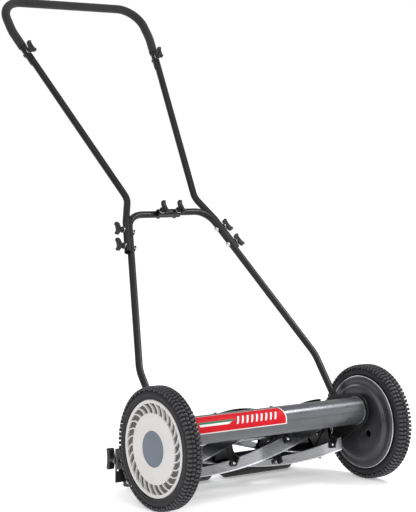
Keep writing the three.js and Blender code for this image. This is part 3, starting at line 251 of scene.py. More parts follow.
GUNMETAL = surface("gunmetal_paint", (0.10, 0.103, 0.112), (0.13, 0.133, 0.144), 0.31, 0.6,
                   grain=1500, grain_depth=0.00003, cloud=22, coat=0.25, depth=0.3,
                   worn=(0.42, 0.42, 0.44), spread=0.05)
# Painted shade: a darker copy of the gunmetal paint for the gear shields, standing in for the shade they sit
# in inside the wheels.
SHIELD_SHADED_PAINT = surface("gunmetal_paint_shield_painted_shade", (0.047, 0.044, 0.047), (0.066, 0.062, 0.066), 0.33, 0.5,
                       grain=1500, grain_depth=0.00003, cloud=16, coat=0.2, depth=0.25, spread=0.06)
FRAME_BLACK = surface("black_frame_paint", (0.007, 0.007, 0.0075), (0.013, 0.0125, 0.0135), 0.4,
                      grain=700, grain_depth=0.00009, cloud=30, coat=0.04, worn=(0.10, 0.10, 0.105),
                      specular=0.26)
TUBE_BLACK = surface("handle_paint", (0.0065, 0.0058, 0.0064), (0.0115, 0.0102, 0.0112), 0.34,
                     grain=650, grain_depth=0.00006, cloud=26, coat=0.0, spread=0.05, specular=0.26)
BLADE_STEEL = surface("blade_steel", (0.26, 0.26, 0.27), (0.52, 0.52, 0.54), 0.22, 1.0,
                      grain=420, grain_depth=0.00003, cloud=14, stretch=(0.12, 1, 1), spread=0.08)
GROUND_EDGE = surface("blade_steel_ground_edge", (0.72, 0.72, 0.73), (0.86, 0.86, 0.87), 0.18, 1.0,
                      grain=900, grain_depth=0.00002, cloud=40, stretch=(1, 0.2, 0.2), spread=0.05)
SHAFT_STEEL = surface("shaft_steel", (0.38, 0.38, 0.39), (0.55, 0.55, 0.56), 0.3, 1.0,
                      grain=700, grain_depth=0.00002, cloud=30, stretch=(3, 1, 1), spread=0.06)
ZINC = surface("bolt_zinc", (0.62, 0.62, 0.6), (0.82, 0.81, 0.78), 0.26, 1.0,
               grain=900, grain_depth=0.00003, cloud=60, spread=0.08)
RUBBER = surface("tyre_rubber", (0.0085, 0.0082, 0.0095), (0.017, 0.0165, 0.019), 0.52,
                 grain=520, grain_depth=0.00018, cloud=36, worn=(0.085, 0.083, 0.09), specular=0.32)
RIM_BLACK = surface("rim_plastic", (0.012, 0.012, 0.0125), (0.02, 0.02, 0.021), 0.5,
                    grain=800, grain_depth=0.0001, cloud=24)
CAP_GREY = surface("cap_plastic", (0.60, 0.585, 0.565), (0.66, 0.645, 0.625), 0.46,
                   grain=1400, grain_depth=0.00004, cloud=16, depth=0.1, spread=0.06)
# Painted shade: a dark grey for the floor ring that closes the hub cap's vents, standing in for the shade
# seen through them.
VENT_SHADE = surface("cap_plastic_vent_painted_shade", (0.10, 0.095, 0.088), (0.15, 0.142, 0.132), 0.6,
                     grain=900, grain_depth=0.00006, cloud=20, depth=0.2)
CENTRE_BLUE = surface("centre_plastic", (0.125, 0.152, 0.185), (0.155, 0.185, 0.222), 0.44,
                      grain=700, grain_depth=0.00012, cloud=22, depth=0.22)
ROLLER_BLACK = surface("roller_plastic", (0.008, 0.008, 0.0085), (0.015, 0.015, 0.0155), 0.4,
                       grain=600, grain_depth=0.0001, cloud=20, worn=(0.06, 0.06, 0.06))
KNOB_BLACK = surface("knob_plastic", (0.007, 0.007, 0.0075), (0.012, 0.012, 0.0125), 0.42,
                     grain=1100, grain_depth=0.0001, cloud=60, worn=(0.05, 0.05, 0.05), specular=0.28)
# Painted highlight: a bright bare-metal colour on the shield's rolled rim bead, standing in for the highlight
# line along it.
RIM_HIGHLIGHT = surface("gunmetal_rolled_rim_painted_highlight", (0.70, 0.70, 0.72), (0.80, 0.80, 0.82), 0.24, 1.0,
                   grain=1500, grain_depth=0.00002, cloud=30, spread=0.05)
LABEL_RED = surface("label_red", (0.50, 0.004, 0.012), (0.60, 0.008, 0.018), 0.5,
                    grain=1600, grain_depth=0.00002, cloud=30, specular=0.12, depth=0.1, spread=0.04)
LABEL_WHITE = surface("label_white", (0.66, 0.66, 0.65), (0.74, 0.74, 0.73), 0.5,
                      grain=1600, grain_depth=0.00002, cloud=30, specular=0.12, depth=0.06, spread=0.04)
LABEL_GREEN = surface("label_green", (0.008, 0.15, 0.08), (0.014, 0.20, 0.11), 0.5,
                      grain=1600, grain_depth=0.00002, cloud=30, specular=0.12, depth=0.1, spread=0.04)


def foam_material():
    """Closed-cell foam: small pits, a soft sheen and paler rubbed patches."""
    mat, nodes, links, shader = new_material("grip_foam")
    vector = coordinates(nodes, links)
    cells = nodes.new("ShaderNodeTexVoronoi")
    cells.inputs["Scale"].default_value = 620
    links.new(vector, cells.inputs["Vector"])
    clouds = noise(nodes, links, vector, 24, 6, 0.6)
    colour = ramp(nodes, links, clouds, [(0.3, (0.011, 0.0105, 0.011)), (0.72, (0.022, 0.021, 0.022))])
    links.new(colour, shader.inputs["Base Color"])
    links.new(levels(nodes, links, clouds, 0.78, 0.95), shader.inputs["Roughness"])
    first = bump(nodes, links, shader, cells.outputs["Distance"], 0.7, 0.0003)
    bump(nodes, links, shader, noise(nodes, links, vector, 90, 3), 0.4, 0.0006, first)
    shader.inputs["Sheen Weight"].default_value = 0.08
    shader.inputs["Sheen Roughness"].default_value = 0.6
    shader.inputs["Specular IOR Level"].default_value = 0.3
    return mat


FOAM = foam_material()

# --- Mesh building, in millimetres ---


class Shells:
    """Closed shells gathered into one mesh."""

    def __init__(self):
        self.verts, self.faces, self.mats = [], [], []

    def add(self, made, mat=0, place=None):
        verts, faces = made[0], made[1]
        if place is not None:
            verts = [place(v) for v in verts]
        start = len(self.verts)
        self.verts.extend(verts)
        self.faces.extend(tuple(i + start for i in face) for face in faces)
        self.mats.extend(made[2] if len(made) > 2 else [mat] * len(faces))
        return self


def linked(name, data):
    obj = bpy.data.objects.new(name, data)
    bpy.context.scene.collection.objects.link(obj)
    return obj


def mesh_of(name, shells, materials=()):
    """A mesh in metres with its faces turned outward."""
    data = bpy.data.meshes.new(name)
    verts = [tuple(float(c) * MM for c in v) for v in shells.verts]
    data.from_pydata(verts, [], shells.faces)
    for mat in materials:
        data.materials.append(mat)
    data.polygons.foreach_set("material_index", shells.mats)
    mesh = bmesh.new()
    mesh.from_mesh(data)
    bmesh.ops.recalc_face_normals(mesh, faces=mesh.faces)
    mesh.to_mesh(data)
    mesh.free()
    return data


def finished(name, data, body, replaces, sharp, bevel, steps, angle):
    """The mesh as an object: shaded smooth between sharp edges, bevelled and riding on its body."""
    data.polygons.foreach_set("use_smooth", [True] * len(data.polygons))
    data.set_sharp_from_angle(angle=math.radians(sharp))
    obj = linked(name, data)
    if bevel:
        edge = obj.modifiers.new("edge", "BEVEL")
        edge.width = bevel * MM
        edge.segments = steps
        edge.limit_method = "ANGLE"
        edge.angle_limit = math.radians(angle)
        edge.harden_normals = True
    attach(obj, body)
    if replaces:
        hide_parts(*replaces)
    return obj


def piece(name, shells, materials, body, replaces=(), sharp=32, bevel=0.0, steps=2, angle=32):
    data = mesh_of(name, shells, materials)
    return finished(name, data, body, replaces, sharp, bevel, steps, angle)


def rounded(points, radius, steps=4, closed=True):
    """The outline with each corner turned into a short curve."""
    made = []
    count = len(points)
    for i, corner in enumerate(points):
        corner = np.array(corner, float)
        if not closed and i in (0, count - 1):
            made.append(corner)
            continue
        before = np.array(points[i - 1], float) - corner
        after = np.array(points[(i + 1) % count], float) - corner
        cut = min(radius, np.linalg.norm(before) * 0.45, np.linalg.norm(after) * 0.45)
        start = corner + before / np.linalg.norm(before) * cut
        end = corner + after / np.linalg.norm(after) * cut
        for step in range(steps + 1):
            t = step / steps
            made.append((1 - t) ** 2 * start + 2 * t * (1 - t) * corner + t * t * end)
    return made


def lathe(profile, sides, closed=True):
    """Turned about the first axis: profile points are (radius, along)."""
    verts, rings, faces = [], [], []
    for radius, along in profile:
        if radius < 1e-6:
            rings.append([len(verts)])
            verts.append((along, 0.0, 0.0))
            continue
        rings.append(list(range(len(verts), len(verts) + sides)))
        for i in range(sides):
            turn = 2 * math.pi * i / sides
            verts.append((along, radius * math.cos(turn), radius * math.sin(turn)))
    pairs = list(zip(rings, rings[1:]))
    if closed and len(rings[0]) > 1:
        pairs.append((rings[-1], rings[0]))
    for a, b in pairs:
        for i in range(sides):
            j = (i + 1) % sides
            if len(a) == 1 and len(b) > 1:
                faces.append((a[0], b[i], b[j]))
            elif len(b) == 1 and len(a) > 1:
                faces.append((a[i], b[0], a[j]))
            elif len(a) > 1:
                faces.append((a[i], b[i], b[j], a[j]))
    return verts, faces


def prism(outline, low, high):
    """The outline, (u, v) points, run from low to high along the first axis."""
    count = len(outline)
    verts = [(low, u, v) for u, v in outline] + [(high, u, v) for u, v in outline]
    faces = [tuple(range(count)), tuple(range(count, 2 * count))]
    faces += [(i, (i + 1) % count, count + (i + 1) % count, count + i) for i in range(count)]
    return verts, faces


def block(low, high):
    corners = [(low[1], low[2]), (high[1], low[2]), (high[1], high[2]), (low[1], high[2])]
    return prism(corners, low[0], high[0])


def loft(rings, capped=True):
    """A skin over rings of equal count."""
    count = len(rings[0])
    verts = [v for ring in rings for v in ring]
    faces = []
    for k in range(len(rings) - 1):
        for i in range(count):
            j = (i + 1) % count
            faces.append((k * count + i, k * count + j, (k + 1) * count + j, (k + 1) * count + i))
    if capped:
        faces.append(tuple(range(count)))
        last = (len(rings) - 1) * count
        faces.append(tuple(range(last, last + count)))
    return verts, faces


def across(side, y, z):
    """Places a piece turned about X at (y, z), with its along measured out from the middle."""
    return lambda v: (side * v[0], y + v[1], z + v[2])


def basis(origin, along, wing):
    """Places a piece turned about `along`, with its second axis towards `wing`."""
    along = np.array(along, float) / np.linalg.norm(along)
    third = np.cross(wing, along)
    third = third / np.linalg.norm(third)
    second = np.cross(along, third)
    return lambda v: origin + along * v[0] + second * v[1] + third * v[2]


def unit(v):
    return np.array(v, float) / np.linalg.norm(v)


def bent(corners, radii, steps=14):
    """Straight stretches with a round bend at each inner corner, as points and their directions."""
    points, ways = [np.array(corners[0], float)], [unit(np.subtract(corners[1], corners[0]))]
    for i in range(1, len(corners) - 1):
        corner = np.array(corners[i], float)
        into, out = unit(corner - corners[i - 1]), unit(np.subtract(corners[i + 1], corner))
        angle = math.acos(max(-1, min(1, float(into @ out))))
        inward = unit(out - into * (into @ out))
        radius = radii[i - 1]
        start = corner - into * radius * math.tan(angle / 2)
        for step in range(steps + 1):
            turn = angle * step / steps
            points.append(start + into * radius * math.sin(turn) + inward * radius * (1 - math.cos(turn)))
            ways.append(into * math.cos(turn) + inward * math.sin(turn))
    points.append(np.array(corners[-1], float))
    ways.append(unit(np.subtract(corners[-1], corners[-2])))
    return points, ways


def refined(points, ways, longest=14):
    """The same run with long straight stretches cut up."""
    fine_points, fine_ways = [points[0]], [ways[0]]
    for a, b, wb in zip(points, points[1:], ways[1:]):
        cuts = max(1, math.ceil(np.linalg.norm(b - a) / longest))
        for i in range(1, cuts + 1):
            fine_points.append(a + (b - a) * i / cuts)
            fine_ways.append(wb)
    return fine_points, fine_ways


def side_axes(ways, first):
    """Two axes square to the run at each point, carried along without twist."""
    axes = []
    u = np.array(first, float)
    for way in ways:
        u = unit(u - way * (u @ way))
        axes.append((u, np.cross(way, u)))
    return axes


def round_tube(points, ways, first, radius, wall, sides=28, press=None, open_ends=(True, True)):
    """A bent tube. press moves its outer points, where an end is pressed flat or nested."""
    axes = side_axes(ways, first)
    circle = [2 * math.pi * i / sides for i in range(sides)]

    def ring(centre, pair, r):
        return [centre + pair[0] * r * math.cos(t) + pair[1] * r * math.sin(t) for t in circle]

    rings = []
    deep = 9.0
    chamfer = 0.4
    way, pair = ways[0], axes[0]
    if open_ends[0]:
        rings.append(ring(points[0] + way * deep, pair, radius - wall))
        rings.append(ring(points[0] + way * 0.1, pair, radius - wall))
        rings.append(ring(points[0], pair, radius - wall + chamfer))
    rings.append(ring(points[0], pair, radius - chamfer))
    rings.append(ring(points[0] + way * chamfer, pair, radius))
    for point, pair in list(zip(points, axes))[1:-1]:
        rings.append(ring(point, pair, radius))
    way, pair = ways[-1], axes[-1]
    rings.append(ring(points[-1] - way * chamfer, pair, radius))
    rings.append(ring(points[-1], pair, radius - chamfer))
    if open_ends[1]:
        rings.append(ring(points[-1], pair, radius - wall + chamfer))
        rings.append(ring(points[-1] - way * 0.1, pair, radius - wall))
        rings.append(ring(points[-1] - way * deep, pair, radius - wall))
    if press is not None:
        rings = [[press(v) for v in r] for r in rings]
    return loft(rings)


def hull(circles, steps=20):
    """The outline round circles (u, v, radius) given anticlockwise."""
    count = len(circles)
    headings = []
    for i, (y, z, r) in enumerate(circles):
        ny, nz, nr = circles[(i + 1) % count]
        headings.append(math.atan2(nz - z, ny - y) + math.asin((r - nr) / math.hypot(ny - y, nz - z)))
    outline = []
    for i, (y, z, r) in enumerate(circles):
        last, first = headings[i], headings[i - 1]
        while first > last:
            first -= 2 * math.pi
        while last - first > 2 * math.pi:
            first += 2 * math.pi
        for step in range(steps + 1):
            turn = first + (last - first) * step / steps - math.pi / 2
            outline.append((y + r * math.cos(turn), z + r * math.sin(turn)))
    return outline


def remade(node, name, mat, body, bevel=0.5):
    """The CAD shape again, its flat faces joined up and its edges rounded."""
    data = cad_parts[node].data.copy()
    data.name = name
    mesh = bmesh.new()
    mesh.from_mesh(data)
    bmesh.ops.remove_doubles(mesh, verts=mesh.verts, dist=1e-6)
    bmesh.ops.dissolve_limit(mesh, angle_limit=math.radians(0.5), verts=mesh.verts, edges=mesh.edges)
    mesh.to_mesh(data)
    mesh.free()
    data.materials.clear()
    data.materials.append(mat)
    return finished(name, data, body, [node], 35, bevel, 2, 40)


SIDES = ((-1, "left"), (1, "right"))

# --- Wheels ---
MIDDLE = (WHEEL_IN + WHEEL_OUT) / 2
TREAD_COUNT = 84
TREAD_HALF = 3.15
TREAD_TAPER = 0.5
TURNED_SIDES = 144


def tread_block(section, middle, half, taper):
    """A rubber block: its section in (radius, along), narrower at the top than at the root."""
    rings = []
    low = min(r for r, _ in section)
    high = max(r for r, _ in section)
    for sign in (-1, 1):
        ring = []
        for radius, along in section:
            rise = (radius - low) / (high - low)
            turn = middle + sign * (half - taper * rise) / TYRE_RADIUS
            ring.append((along, radius * math.cos(turn), radius * math.sin(turn)))
        rings.append(ring)
    return loft(rings)


def tyre(side, name):
    half_side = [
        (TYRE_BORE, MIDDLE + 15.6), (101.2, MIDDLE + 15.4), (100.9, MIDDLE + 16.4),
        (101.6, MIDDLE + 17.3),
        (103.6, MIDDLE + 17.4), (104.8, MIDDLE + 16.7), (106.2, MIDDLE + 16.6), (107.4, MIDDLE + 17.5),
        (111.5, MIDDLE + 17.8), (115, MIDDLE + 16.8), (118.6, MIDDLE + 14.2), (121.6, MIDDLE + 10.6),
    ]
    inner = [
        (121.6, MIDDLE - 10.6), (118.6, MIDDLE - 14.2), (115, MIDDLE - 16.8), (111.5, MIDDLE - 17.8),
        (107.5, MIDDLE - 17.5), (TYRE_BORE, MIDDLE - 16.2),
    ]
    shells = Shells()
    profile = rounded(half_side + inner, 1.6, 3)
    place = across(side, AXLE_Y, AXLE_Z)
    shells.add(lathe(profile, TURNED_SIDES), place=place)
    pitch = 2 * math.pi / TREAD_COUNT
    for row, (low, high) in enumerate(((-8.9, -1.0), (1.0, 8.9))):
        section = [
            (121.2, MIDDLE + low), (126.2, MIDDLE + low + 0.3), (126.85, MIDDLE + low + 1.4),
            (126.85, MIDDLE + high - 1.4), (126.2, MIDDLE + high - 0.3), (121.2, MIDDLE + high),
        ]
        for i in range(TREAD_COUNT):
            middle = pitch * (i + 0.5 * row)
            shells.add(tread_block(section, middle, TREAD_HALF, TREAD_TAPER), place=place)
    for row, sign in enumerate((-1, 1)):
        for i in range(TREAD_COUNT):
            low = 117.4 if i % 2 else 119.6
            section = [(r, MIDDLE + sign * along) for r, along in (
                (121, 10.4), (126.2, 10.7), (126.75, 11.6), (126.1, 14.2), (123.9, 16.3),
                (low + 1.2, 17.5), (low, 16.9), (low + 0.4, 13.4),
            )]
            middle = pitch * (i + 0.5 * row)
            shells.add(tread_block(section, middle, TREAD_HALF, TREAD_TAPER), place=place)
    piece(f"{name}_tyre_tread", shells, [RUBBER], f"{name}_wheel",
          [f"{name}_tyre"], sharp=50, bevel=0.3, steps=1, angle=50)


def hub_cap(side, name):
    place = across(side, AXLE_Y, AXLE_Z)
    face = CAP_IN + 2.6
    shells = Shells()
    disc = [
        (CENTRE_RADIUS + 0.4, face - 3), (CENTRE_RADIUS + 0.4, face + 0.5),
        (CENTRE_RADIUS + 1.4, face + 1.1),
        (50, face + 1.0), (62, face + 0.65), (VENT_INNER - 1.5, face + 0.1), (VENT_INNER, face - 0.9),
        (VENT_INNER, face - 5.4), (VENT_INNER - 2, face - 5.4), (VENT_INNER - 3, face - 2.6),
        (CENTRE_RADIUS + 6, face - 2.6),
    ]
    shells.add(lathe(rounded(disc, 0.6, 3), TURNED_SIDES), place=place)
    ring = [
        (VENT_OUTER, face - 5.4), (VENT_OUTER, face - 0.5), (VENT_OUTER + 1.4, face + 0.35),
        (96, face + 0.6), (98.6, face + 0.3), (CAP_RADIUS, face - 1.1), (CAP_RADIUS, face - 2.6),
        (98, face - 2.6), (97, face - 5.4),
    ]
    shells.add(lathe(rounded(ring, 0.6, 3), TURNED_SIDES), place=place)
    reach = VENT_OUTER - VENT_INNER
    for i in range(VENT_COUNT):
        start = 2 * math.pi * i / VENT_COUNT
        rings = []
        for step in range(11):
            share = step / 10
            radius = VENT_INNER - 0.6 + (reach + 1.2) * share
            lean = start + 0.19 * share ** 1.7
            half = (1.15 + 1.1 * share ** 2 + 0.5 * (1 - share) ** 3) / radius
            back = 0.045 * (0.35 + share)
            section = [
                (face - 0.35, lean + half), (face - 0.35, lean - half),
                (face - 5.2, lean - half - back * 0.2), (face - 5.2, lean + half - back * 0.2),
            ]
            rings.append([(x, radius * math.cos(a), radius * math.sin(a)) for x, a in section])
        shells.add(loft(rings), place=lambda v: place((v[0], v[2], v[1])))
    # A dark grey floor ring under the vents: painted shade standing in for the shaded space seen through
    # them.
    floor = [(VENT_INNER - 0.5, face - 6.6), (VENT_INNER - 0.5, face - 5.3),
             (VENT_OUTER + 0.5, face - 5.3), (VENT_OUTER + 0.5, face - 6.6)]
    shells.add(lathe(floor, TURNED_SIDES), mat=1, place=place)
    piece(f"{name}_cap_face", shells, [CAP_GREY, VENT_SHADE], f"{name}_wheel",
          [f"{name}_hub_cap"], sharp=30, bevel=0.25, steps=2, angle=50)
    badge = [
        (0, CAP_IN + 0.6), (CENTRE_RADIUS, CAP_IN + 0.6), (CENTRE_RADIUS, CAP_IN + 2.9),
        (CENTRE_RADIUS - 0.9, CAP_IN + 3.5), (CENTRE_RADIUS - 1.8, CAP_IN + 3.3),
        (CENTRE_RADIUS - 2.4, CAP_IN + 3.35), (24, CAP_IN + 3.75), (12, CAP_IN + 3.95),
        (0, CAP_IN + 4.0),
    ]
    piece(f"{name}_cap_badge", Shells().add(lathe(badge, 96), place=place), [CENTRE_BLUE],
          f"{name}_wheel", [f"{name}_hub_centre"], sharp=40)


def gear_shield(side, name):
    out = SHIELD_IN + 8
    step = SHIELD_STEP_RADIUS
    boss = [
        (8.3, PLATE_OUT + CLEARANCE), (14, PLATE_OUT + CLEARANCE), (14, SHIELD_IN - 1), (17, SHIELD_IN),
        (46, SHIELD_IN - 0.6), (step - 6, SHIELD_IN), (step, SHIELD_IN + 1.2), (step + 4, out - 1.5),
        (step + 8, out), (SHIELD_RADIUS - 7, out), (SHIELD_RADIUS - 3.6, out + 1.6),
        (SHIELD_RADIUS - 1.6, SHIELD_RIM - 1.4), (SHIELD_RADIUS - 0.2, SHIELD_RIM - 1.6),
        (SHIELD_RADIUS, SHIELD_RIM), (SHIELD_RADIUS - 1.6, SHIELD_RIM + 1.0),
        (SHIELD_RADIUS - 3.6, SHIELD_RIM), (SHIELD_RADIUS - 6.2, out + SHEET),
        (step + 6, out + SHEET), (step - 2.2, SHIELD_IN + SHEET + 1),
        (8.3, SHIELD_IN + SHEET),
    ]
    place = across(side, AXLE_Y, AXLE_Z)
    shells = Shells().add(lathe(rounded(boss, 1.8, 4), 160), place=place)
    dish = piece(f"{name}_shield_dish", shells, [SHIELD_SHADED_PAINT], "frame",
                 [f"{name}_gear_shield"], sharp=45)
    # The rolled rim bead gets a bright colour: a painted highlight line round the shield.
    bead = []
    for i in range(10):
        turn = 2 * math.pi * i / 10
        bead.append((SHIELD_RADIUS - 1.3 + 1.3 * math.cos(turn),
                     SHIELD_RIM - 1.7 + 1.3 * math.sin(turn)))
    piece(f"{name}_shield_rim", Shells().add(lathe(bead, 160), place=place), [RIM_HIGHLIGHT], "frame",
          sharp=60)
    reel_y, reel_z = REEL[1] - AXLE_Y, REEL[2] - AXLE_Z
    for number, (y, z, radius) in enumerate(((reel_y, reel_z, 8.0), (-37, -20, 8.0))):
        drill = Shells().add(lathe([(0, PLATE_OUT - 2), (radius, PLATE_OUT - 2), (radius, WHEEL_IN + 4),
                                    (0, WHEEL_IN + 4)], 40, closed=False),
                             place=across(side, AXLE_Y + y, AXLE_Z + z))
        tool = linked("drill", mesh_of("drill", drill))
        hole = dish.modifiers.new(f"hole{number}", "BOOLEAN")
        hole.operation = "DIFFERENCE"
        hole.object = tool
        hole.solver = "EXACT"
        settle(dish, hole)
        bpy.data.objects.remove(tool)
    dish.data.set_sharp_from_angle(angle=math.radians(45))


def settle(obj, modifier):
    """Makes a modifier's result the object's own mesh."""
    graph = bpy.context.evaluated_depsgraph_get()
    made = bpy.data.meshes.new_from_object(obj.evaluated_get(graph))
    obj.modifiers.remove(modifier)
    obj.data = made


def axle(side, name):
    hub_out = WHEEL_OUT - 10.5
    profile = [
        (0, PLATE_IN + 0.3), (7, PLATE_IN + 0.3), (8, PLATE_IN + 1.3), (8, hub_out + 0.4),
        (12, hub_out + 0.4), (13, hub_out + 1.4), (13, CAP_IN - 2.5), (12, CAP_IN - 1.5),
        (4, CAP_IN - 1.5), (3, CAP_IN - 2.5), (0, CAP_IN - 2.5),
    ]
    piece(f"{name}_axle_pin", Shells().add(lathe(profile, 48), place=across(side, AXLE_Y, AXLE_Z)),
          [SHAFT_STEEL], "frame", [f"{name}_axle"], sharp=30)


for side, name in SIDES:
    tyre(side, name)
    hub_cap(side, name)
    gear_shield(side, name)
    axle(side, name)

# --- Frame ---


def cross_tube():
    r, half = TUBE_RADIUS, TUBE_HALF
    shells = Shells()
    profile = [(r - 2, -half), (r - 0.4, -half), (r, -half + 0.4)]
    profile += [(r, -half + 2 * half * i / 24) for i in range(1, 24)]
    profile += [(r, half - 0.4), (r - 0.4, half), (r - 2, half)]
    shells.add(lathe(profile, 112), place=across(1, TUBE[1], TUBE[2]))
    for side in (-1, 1):
        bead = []
        for i in range(9):
            turn = math.pi * i / 8
            bead.append((r - 0.3 + 1.8 * math.sin(turn), half - 1.7 + 1.8 * math.cos(turn)))
        verts, faces = lathe(bead, 96)
        verts = [(v[0] + 0.25 * math.sin(i * 0.7), *v[1:]) for i, v in enumerate(verts)]
        shells.add((verts, faces), place=across(side, TUBE[1], TUBE[2]))
    piece("cross_tube_body", shells, [GUNMETAL], "frame", ["cross_tube"], sharp=40)


LABEL_END = 8
LABEL_START = -224


def label_edge(low_end, high_end, share):
    """The right end leans and curves: its x at a share of the way up."""
    return low_end + (high_end - low_end) * share + 3.5 * math.sin(math.pi * share)


def label_sheet(name, mat, angles, starts, ends, proud, inner=0.02):
    """A thin sheet on the tube between two angles, its two ends given as functions of the share up."""
    cols, rows = 40, 26
    rings = []
    for j in range(rows + 1):
        share = j / rows
        turn = math.radians(angles[0] + (angles[1] - angles[0]) * share)
        a, b = starts(share), ends(share)
        top, under = [], []
        for i in range(cols + 1):
            x = a + (b - a) * i / cols
            for radius, row in ((TUBE_RADIUS + proud, top), (TUBE_RADIUS + inner, under)):
                row.append((x, TUBE[1] - radius * math.cos(turn), TUBE[2] + radius * math.sin(turn)))
        rings.append(top + under[::-1])
    return piece(name, Shells().add(loft(rings)), [mat], "frame", sharp=50)


def label():
    low, high = -6.5, 74
    label_sheet("label_border", LABEL_WHITE, (low, high), lambda s: LABEL_START,
                lambda s: label_edge(LABEL_END + 3, LABEL_END - 2, s), 0.16)
    label_sheet("label_field", LABEL_RED, (low + 3.8, high - 2), lambda s: LABEL_START + 2,
                lambda s: label_edge(LABEL_END, LABEL_END - 5, s), 0.3)
    for number, (mat, bottom, top) in enumerate(((LABEL_WHITE, 22, 31), (LABEL_GREEN, 31.4, 40))):
        label_sheet(f"label_stripe_{number + 1}", mat, (bottom, top), lambda s: LABEL_START + 8,
                    lambda s, n=number: -142 + 10 * n + 9 * s, 0.42)
    for number in range(9):
        start = -122 + 12.5 * number
        label_sheet(f"label_bar_{number + 1}", LABEL_WHITE, (18, 50), lambda s, x=start: x + 8 * s,
                    lambda s, x=start: x + 4.6 + 8 * s, 0.42)


def plate_outline():
    edge_y = REEL[1] + 67.6 * math.sin(math.radians(20))
    top_z = REEL[2] - 67.6 * math.cos(math.radians(20))
    return hull([
        (TUBE[1], TUBE[2], TUBE_RADIUS + 6.3),
        (edge_y + 18, top_z + 9, 18),
        (ROLLER[1], KNOB_Z - 3, 12),
        (ROLLER[1], KNOB_Z + 27, 12),
        (PIVOT[1], PIVOT[2] + 3, 22),
    ])


def side_plate(side, name):
    place = across(side, 0, 0)
    shells = Shells()
    shells.add(prism(plate_outline(), PLATE_IN, PLATE_OUT), place=place)
    shells.add(block((PLATE_OUT - 2, FLANGE_BACK - 3, KNOB_Z - 18),
                     (PLATE_OUT + 16, FLANGE_BACK, KNOB_Z + 27)), place=place)
    at_pivot = across(side, PIVOT[1], PIVOT[2])
    stem = [(0, PLATE_IN + 1), (5, PLATE_IN + 1), (5, PIVOT_HEAD_OUT - 2), (0, PIVOT_HEAD_OUT - 2)]
    shells.add(lathe(stem, 24), place=at_pivot)
    along = unit([0, LOWER_SLOPE, 1])
    down = np.array([0, along[2], -along[1]])
    stop = PIVOT + along * 18 + down * 13.9
    peg = [(0, PLATE_IN + 1), (4, PLATE_IN + 1), (4, PIVOT_HEAD_OUT - 0.8), (3.2, PIVOT_HEAD_OUT),
           (0, PIVOT_HEAD_OUT)]
    shells.add(lathe(peg, 32), place=across(side, stop[1], stop[2]))
    piece(f"{name}_plate_body", shells, [FRAME_BLACK], "frame",
          [f"{name}_side_plate"], sharp=30, bevel=0.6, steps=3)
    head = [
        (0, PIVOT_HEAD_OUT - 3), (8.3, PIVOT_HEAD_OUT - 3), (8.3, PIVOT_HEAD_OUT - 2),
        (6.6, PIVOT_HEAD_OUT - 1.9),
        (6.2, PIVOT_HEAD_OUT - 0.7), (4.4, PIVOT_HEAD_OUT - 0.1), (0, PIVOT_HEAD_OUT),
    ]
    bolts = Shells().add(lathe(head, 40), place=at_pivot)
    knife_y, knife_z = reach_of("cutter_bar")[1][1] - 2.5, centre_of("cutter_bar")[2]
    for y, z, radius in ((knife_y - 14, knife_z - 8, 5.5), (TUBE[1] + 1, TUBE[2] + 1, 7.5)):
        turns = [math.pi * k / 3 for k in range(6)]
        hexagon = [(y + radius * math.cos(t), z + radius * math.sin(t)) for t in turns]
        bolts.add(prism(hexagon, PLATE_OUT - 0.2, PLATE_OUT + 3.2), place=place)
        washer = [(0, PLATE_OUT - 0.2), (radius * 1.35, PLATE_OUT - 0.2),
                  (radius * 1.35, PLATE_OUT + 0.8), (0, PLATE_OUT + 0.8)]
        bolts.add(lathe(washer, 32), place=across(side, y, z))
    piece(f"{name}_plate_bolts", bolts, [ZINC], "frame", sharp=30, bevel=0.35)


cross_tube()
label()
for side, name in SIDES:
    side_plate(side, name)


def knife_screws():
    """Countersunk screws that hold the bed knife on its bar."""
    top = reach_of("bed_knife")[1][2]
    y = centre_of("bed_knife")[1] - 1
    shells = Shells()
    for i in range(7):
        x = -210 + 70 * i
        head = [(0, 0), (4.6, 0), (4.2, 0.35), (1.6, 0.4), (1.2, 0.1), (0, 0.1)]
        shells.add(lathe(head, 28), place=lambda v, x=x: (x + v[1], y + v[2], top - 0.05 + v[0]))
    piece("knife_screws", shells, [ZINC], "frame", sharp=40)


remade("cutter_bar", "cutter_bar_angle", FRAME_BLACK, "frame", 0.7)
remade("bed_knife", "bed_knife_blade", GROUND_EDGE, "frame", 0.3)
knife_screws()

# --- Reel ---


def edge_angle(k, x):
    return math.radians(BLADE_PHASE + BLADE_TWIST * x - 72 * k)


WRAP = math.acos((REEL_RADIUS ** 2 + BLADE_INNER_RADIUS ** 2 - BLADE_WIDTH ** 2)
                 / (2 * REEL_RADIUS * BLADE_INNER_RADIUS))


def on_reel(radius, angle):
    return np.array([-radius * math.cos(angle), radius * math.sin(angle)])


def blade_axes(k, x):
    """The cutting edge, the direction from it to the trailing edge, and the direction inward."""
    edge = on_reel(REEL_RADIUS, edge_angle(k, x))
    trail = on_reel(BLADE_INNER_RADIUS, edge_angle(k, x) + WRAP)
    along = unit(trail - edge)
    inward = np.array([along[1], -along[0]])
    if inward @ edge > 0:
        inward = -inward
    return edge, along, inward


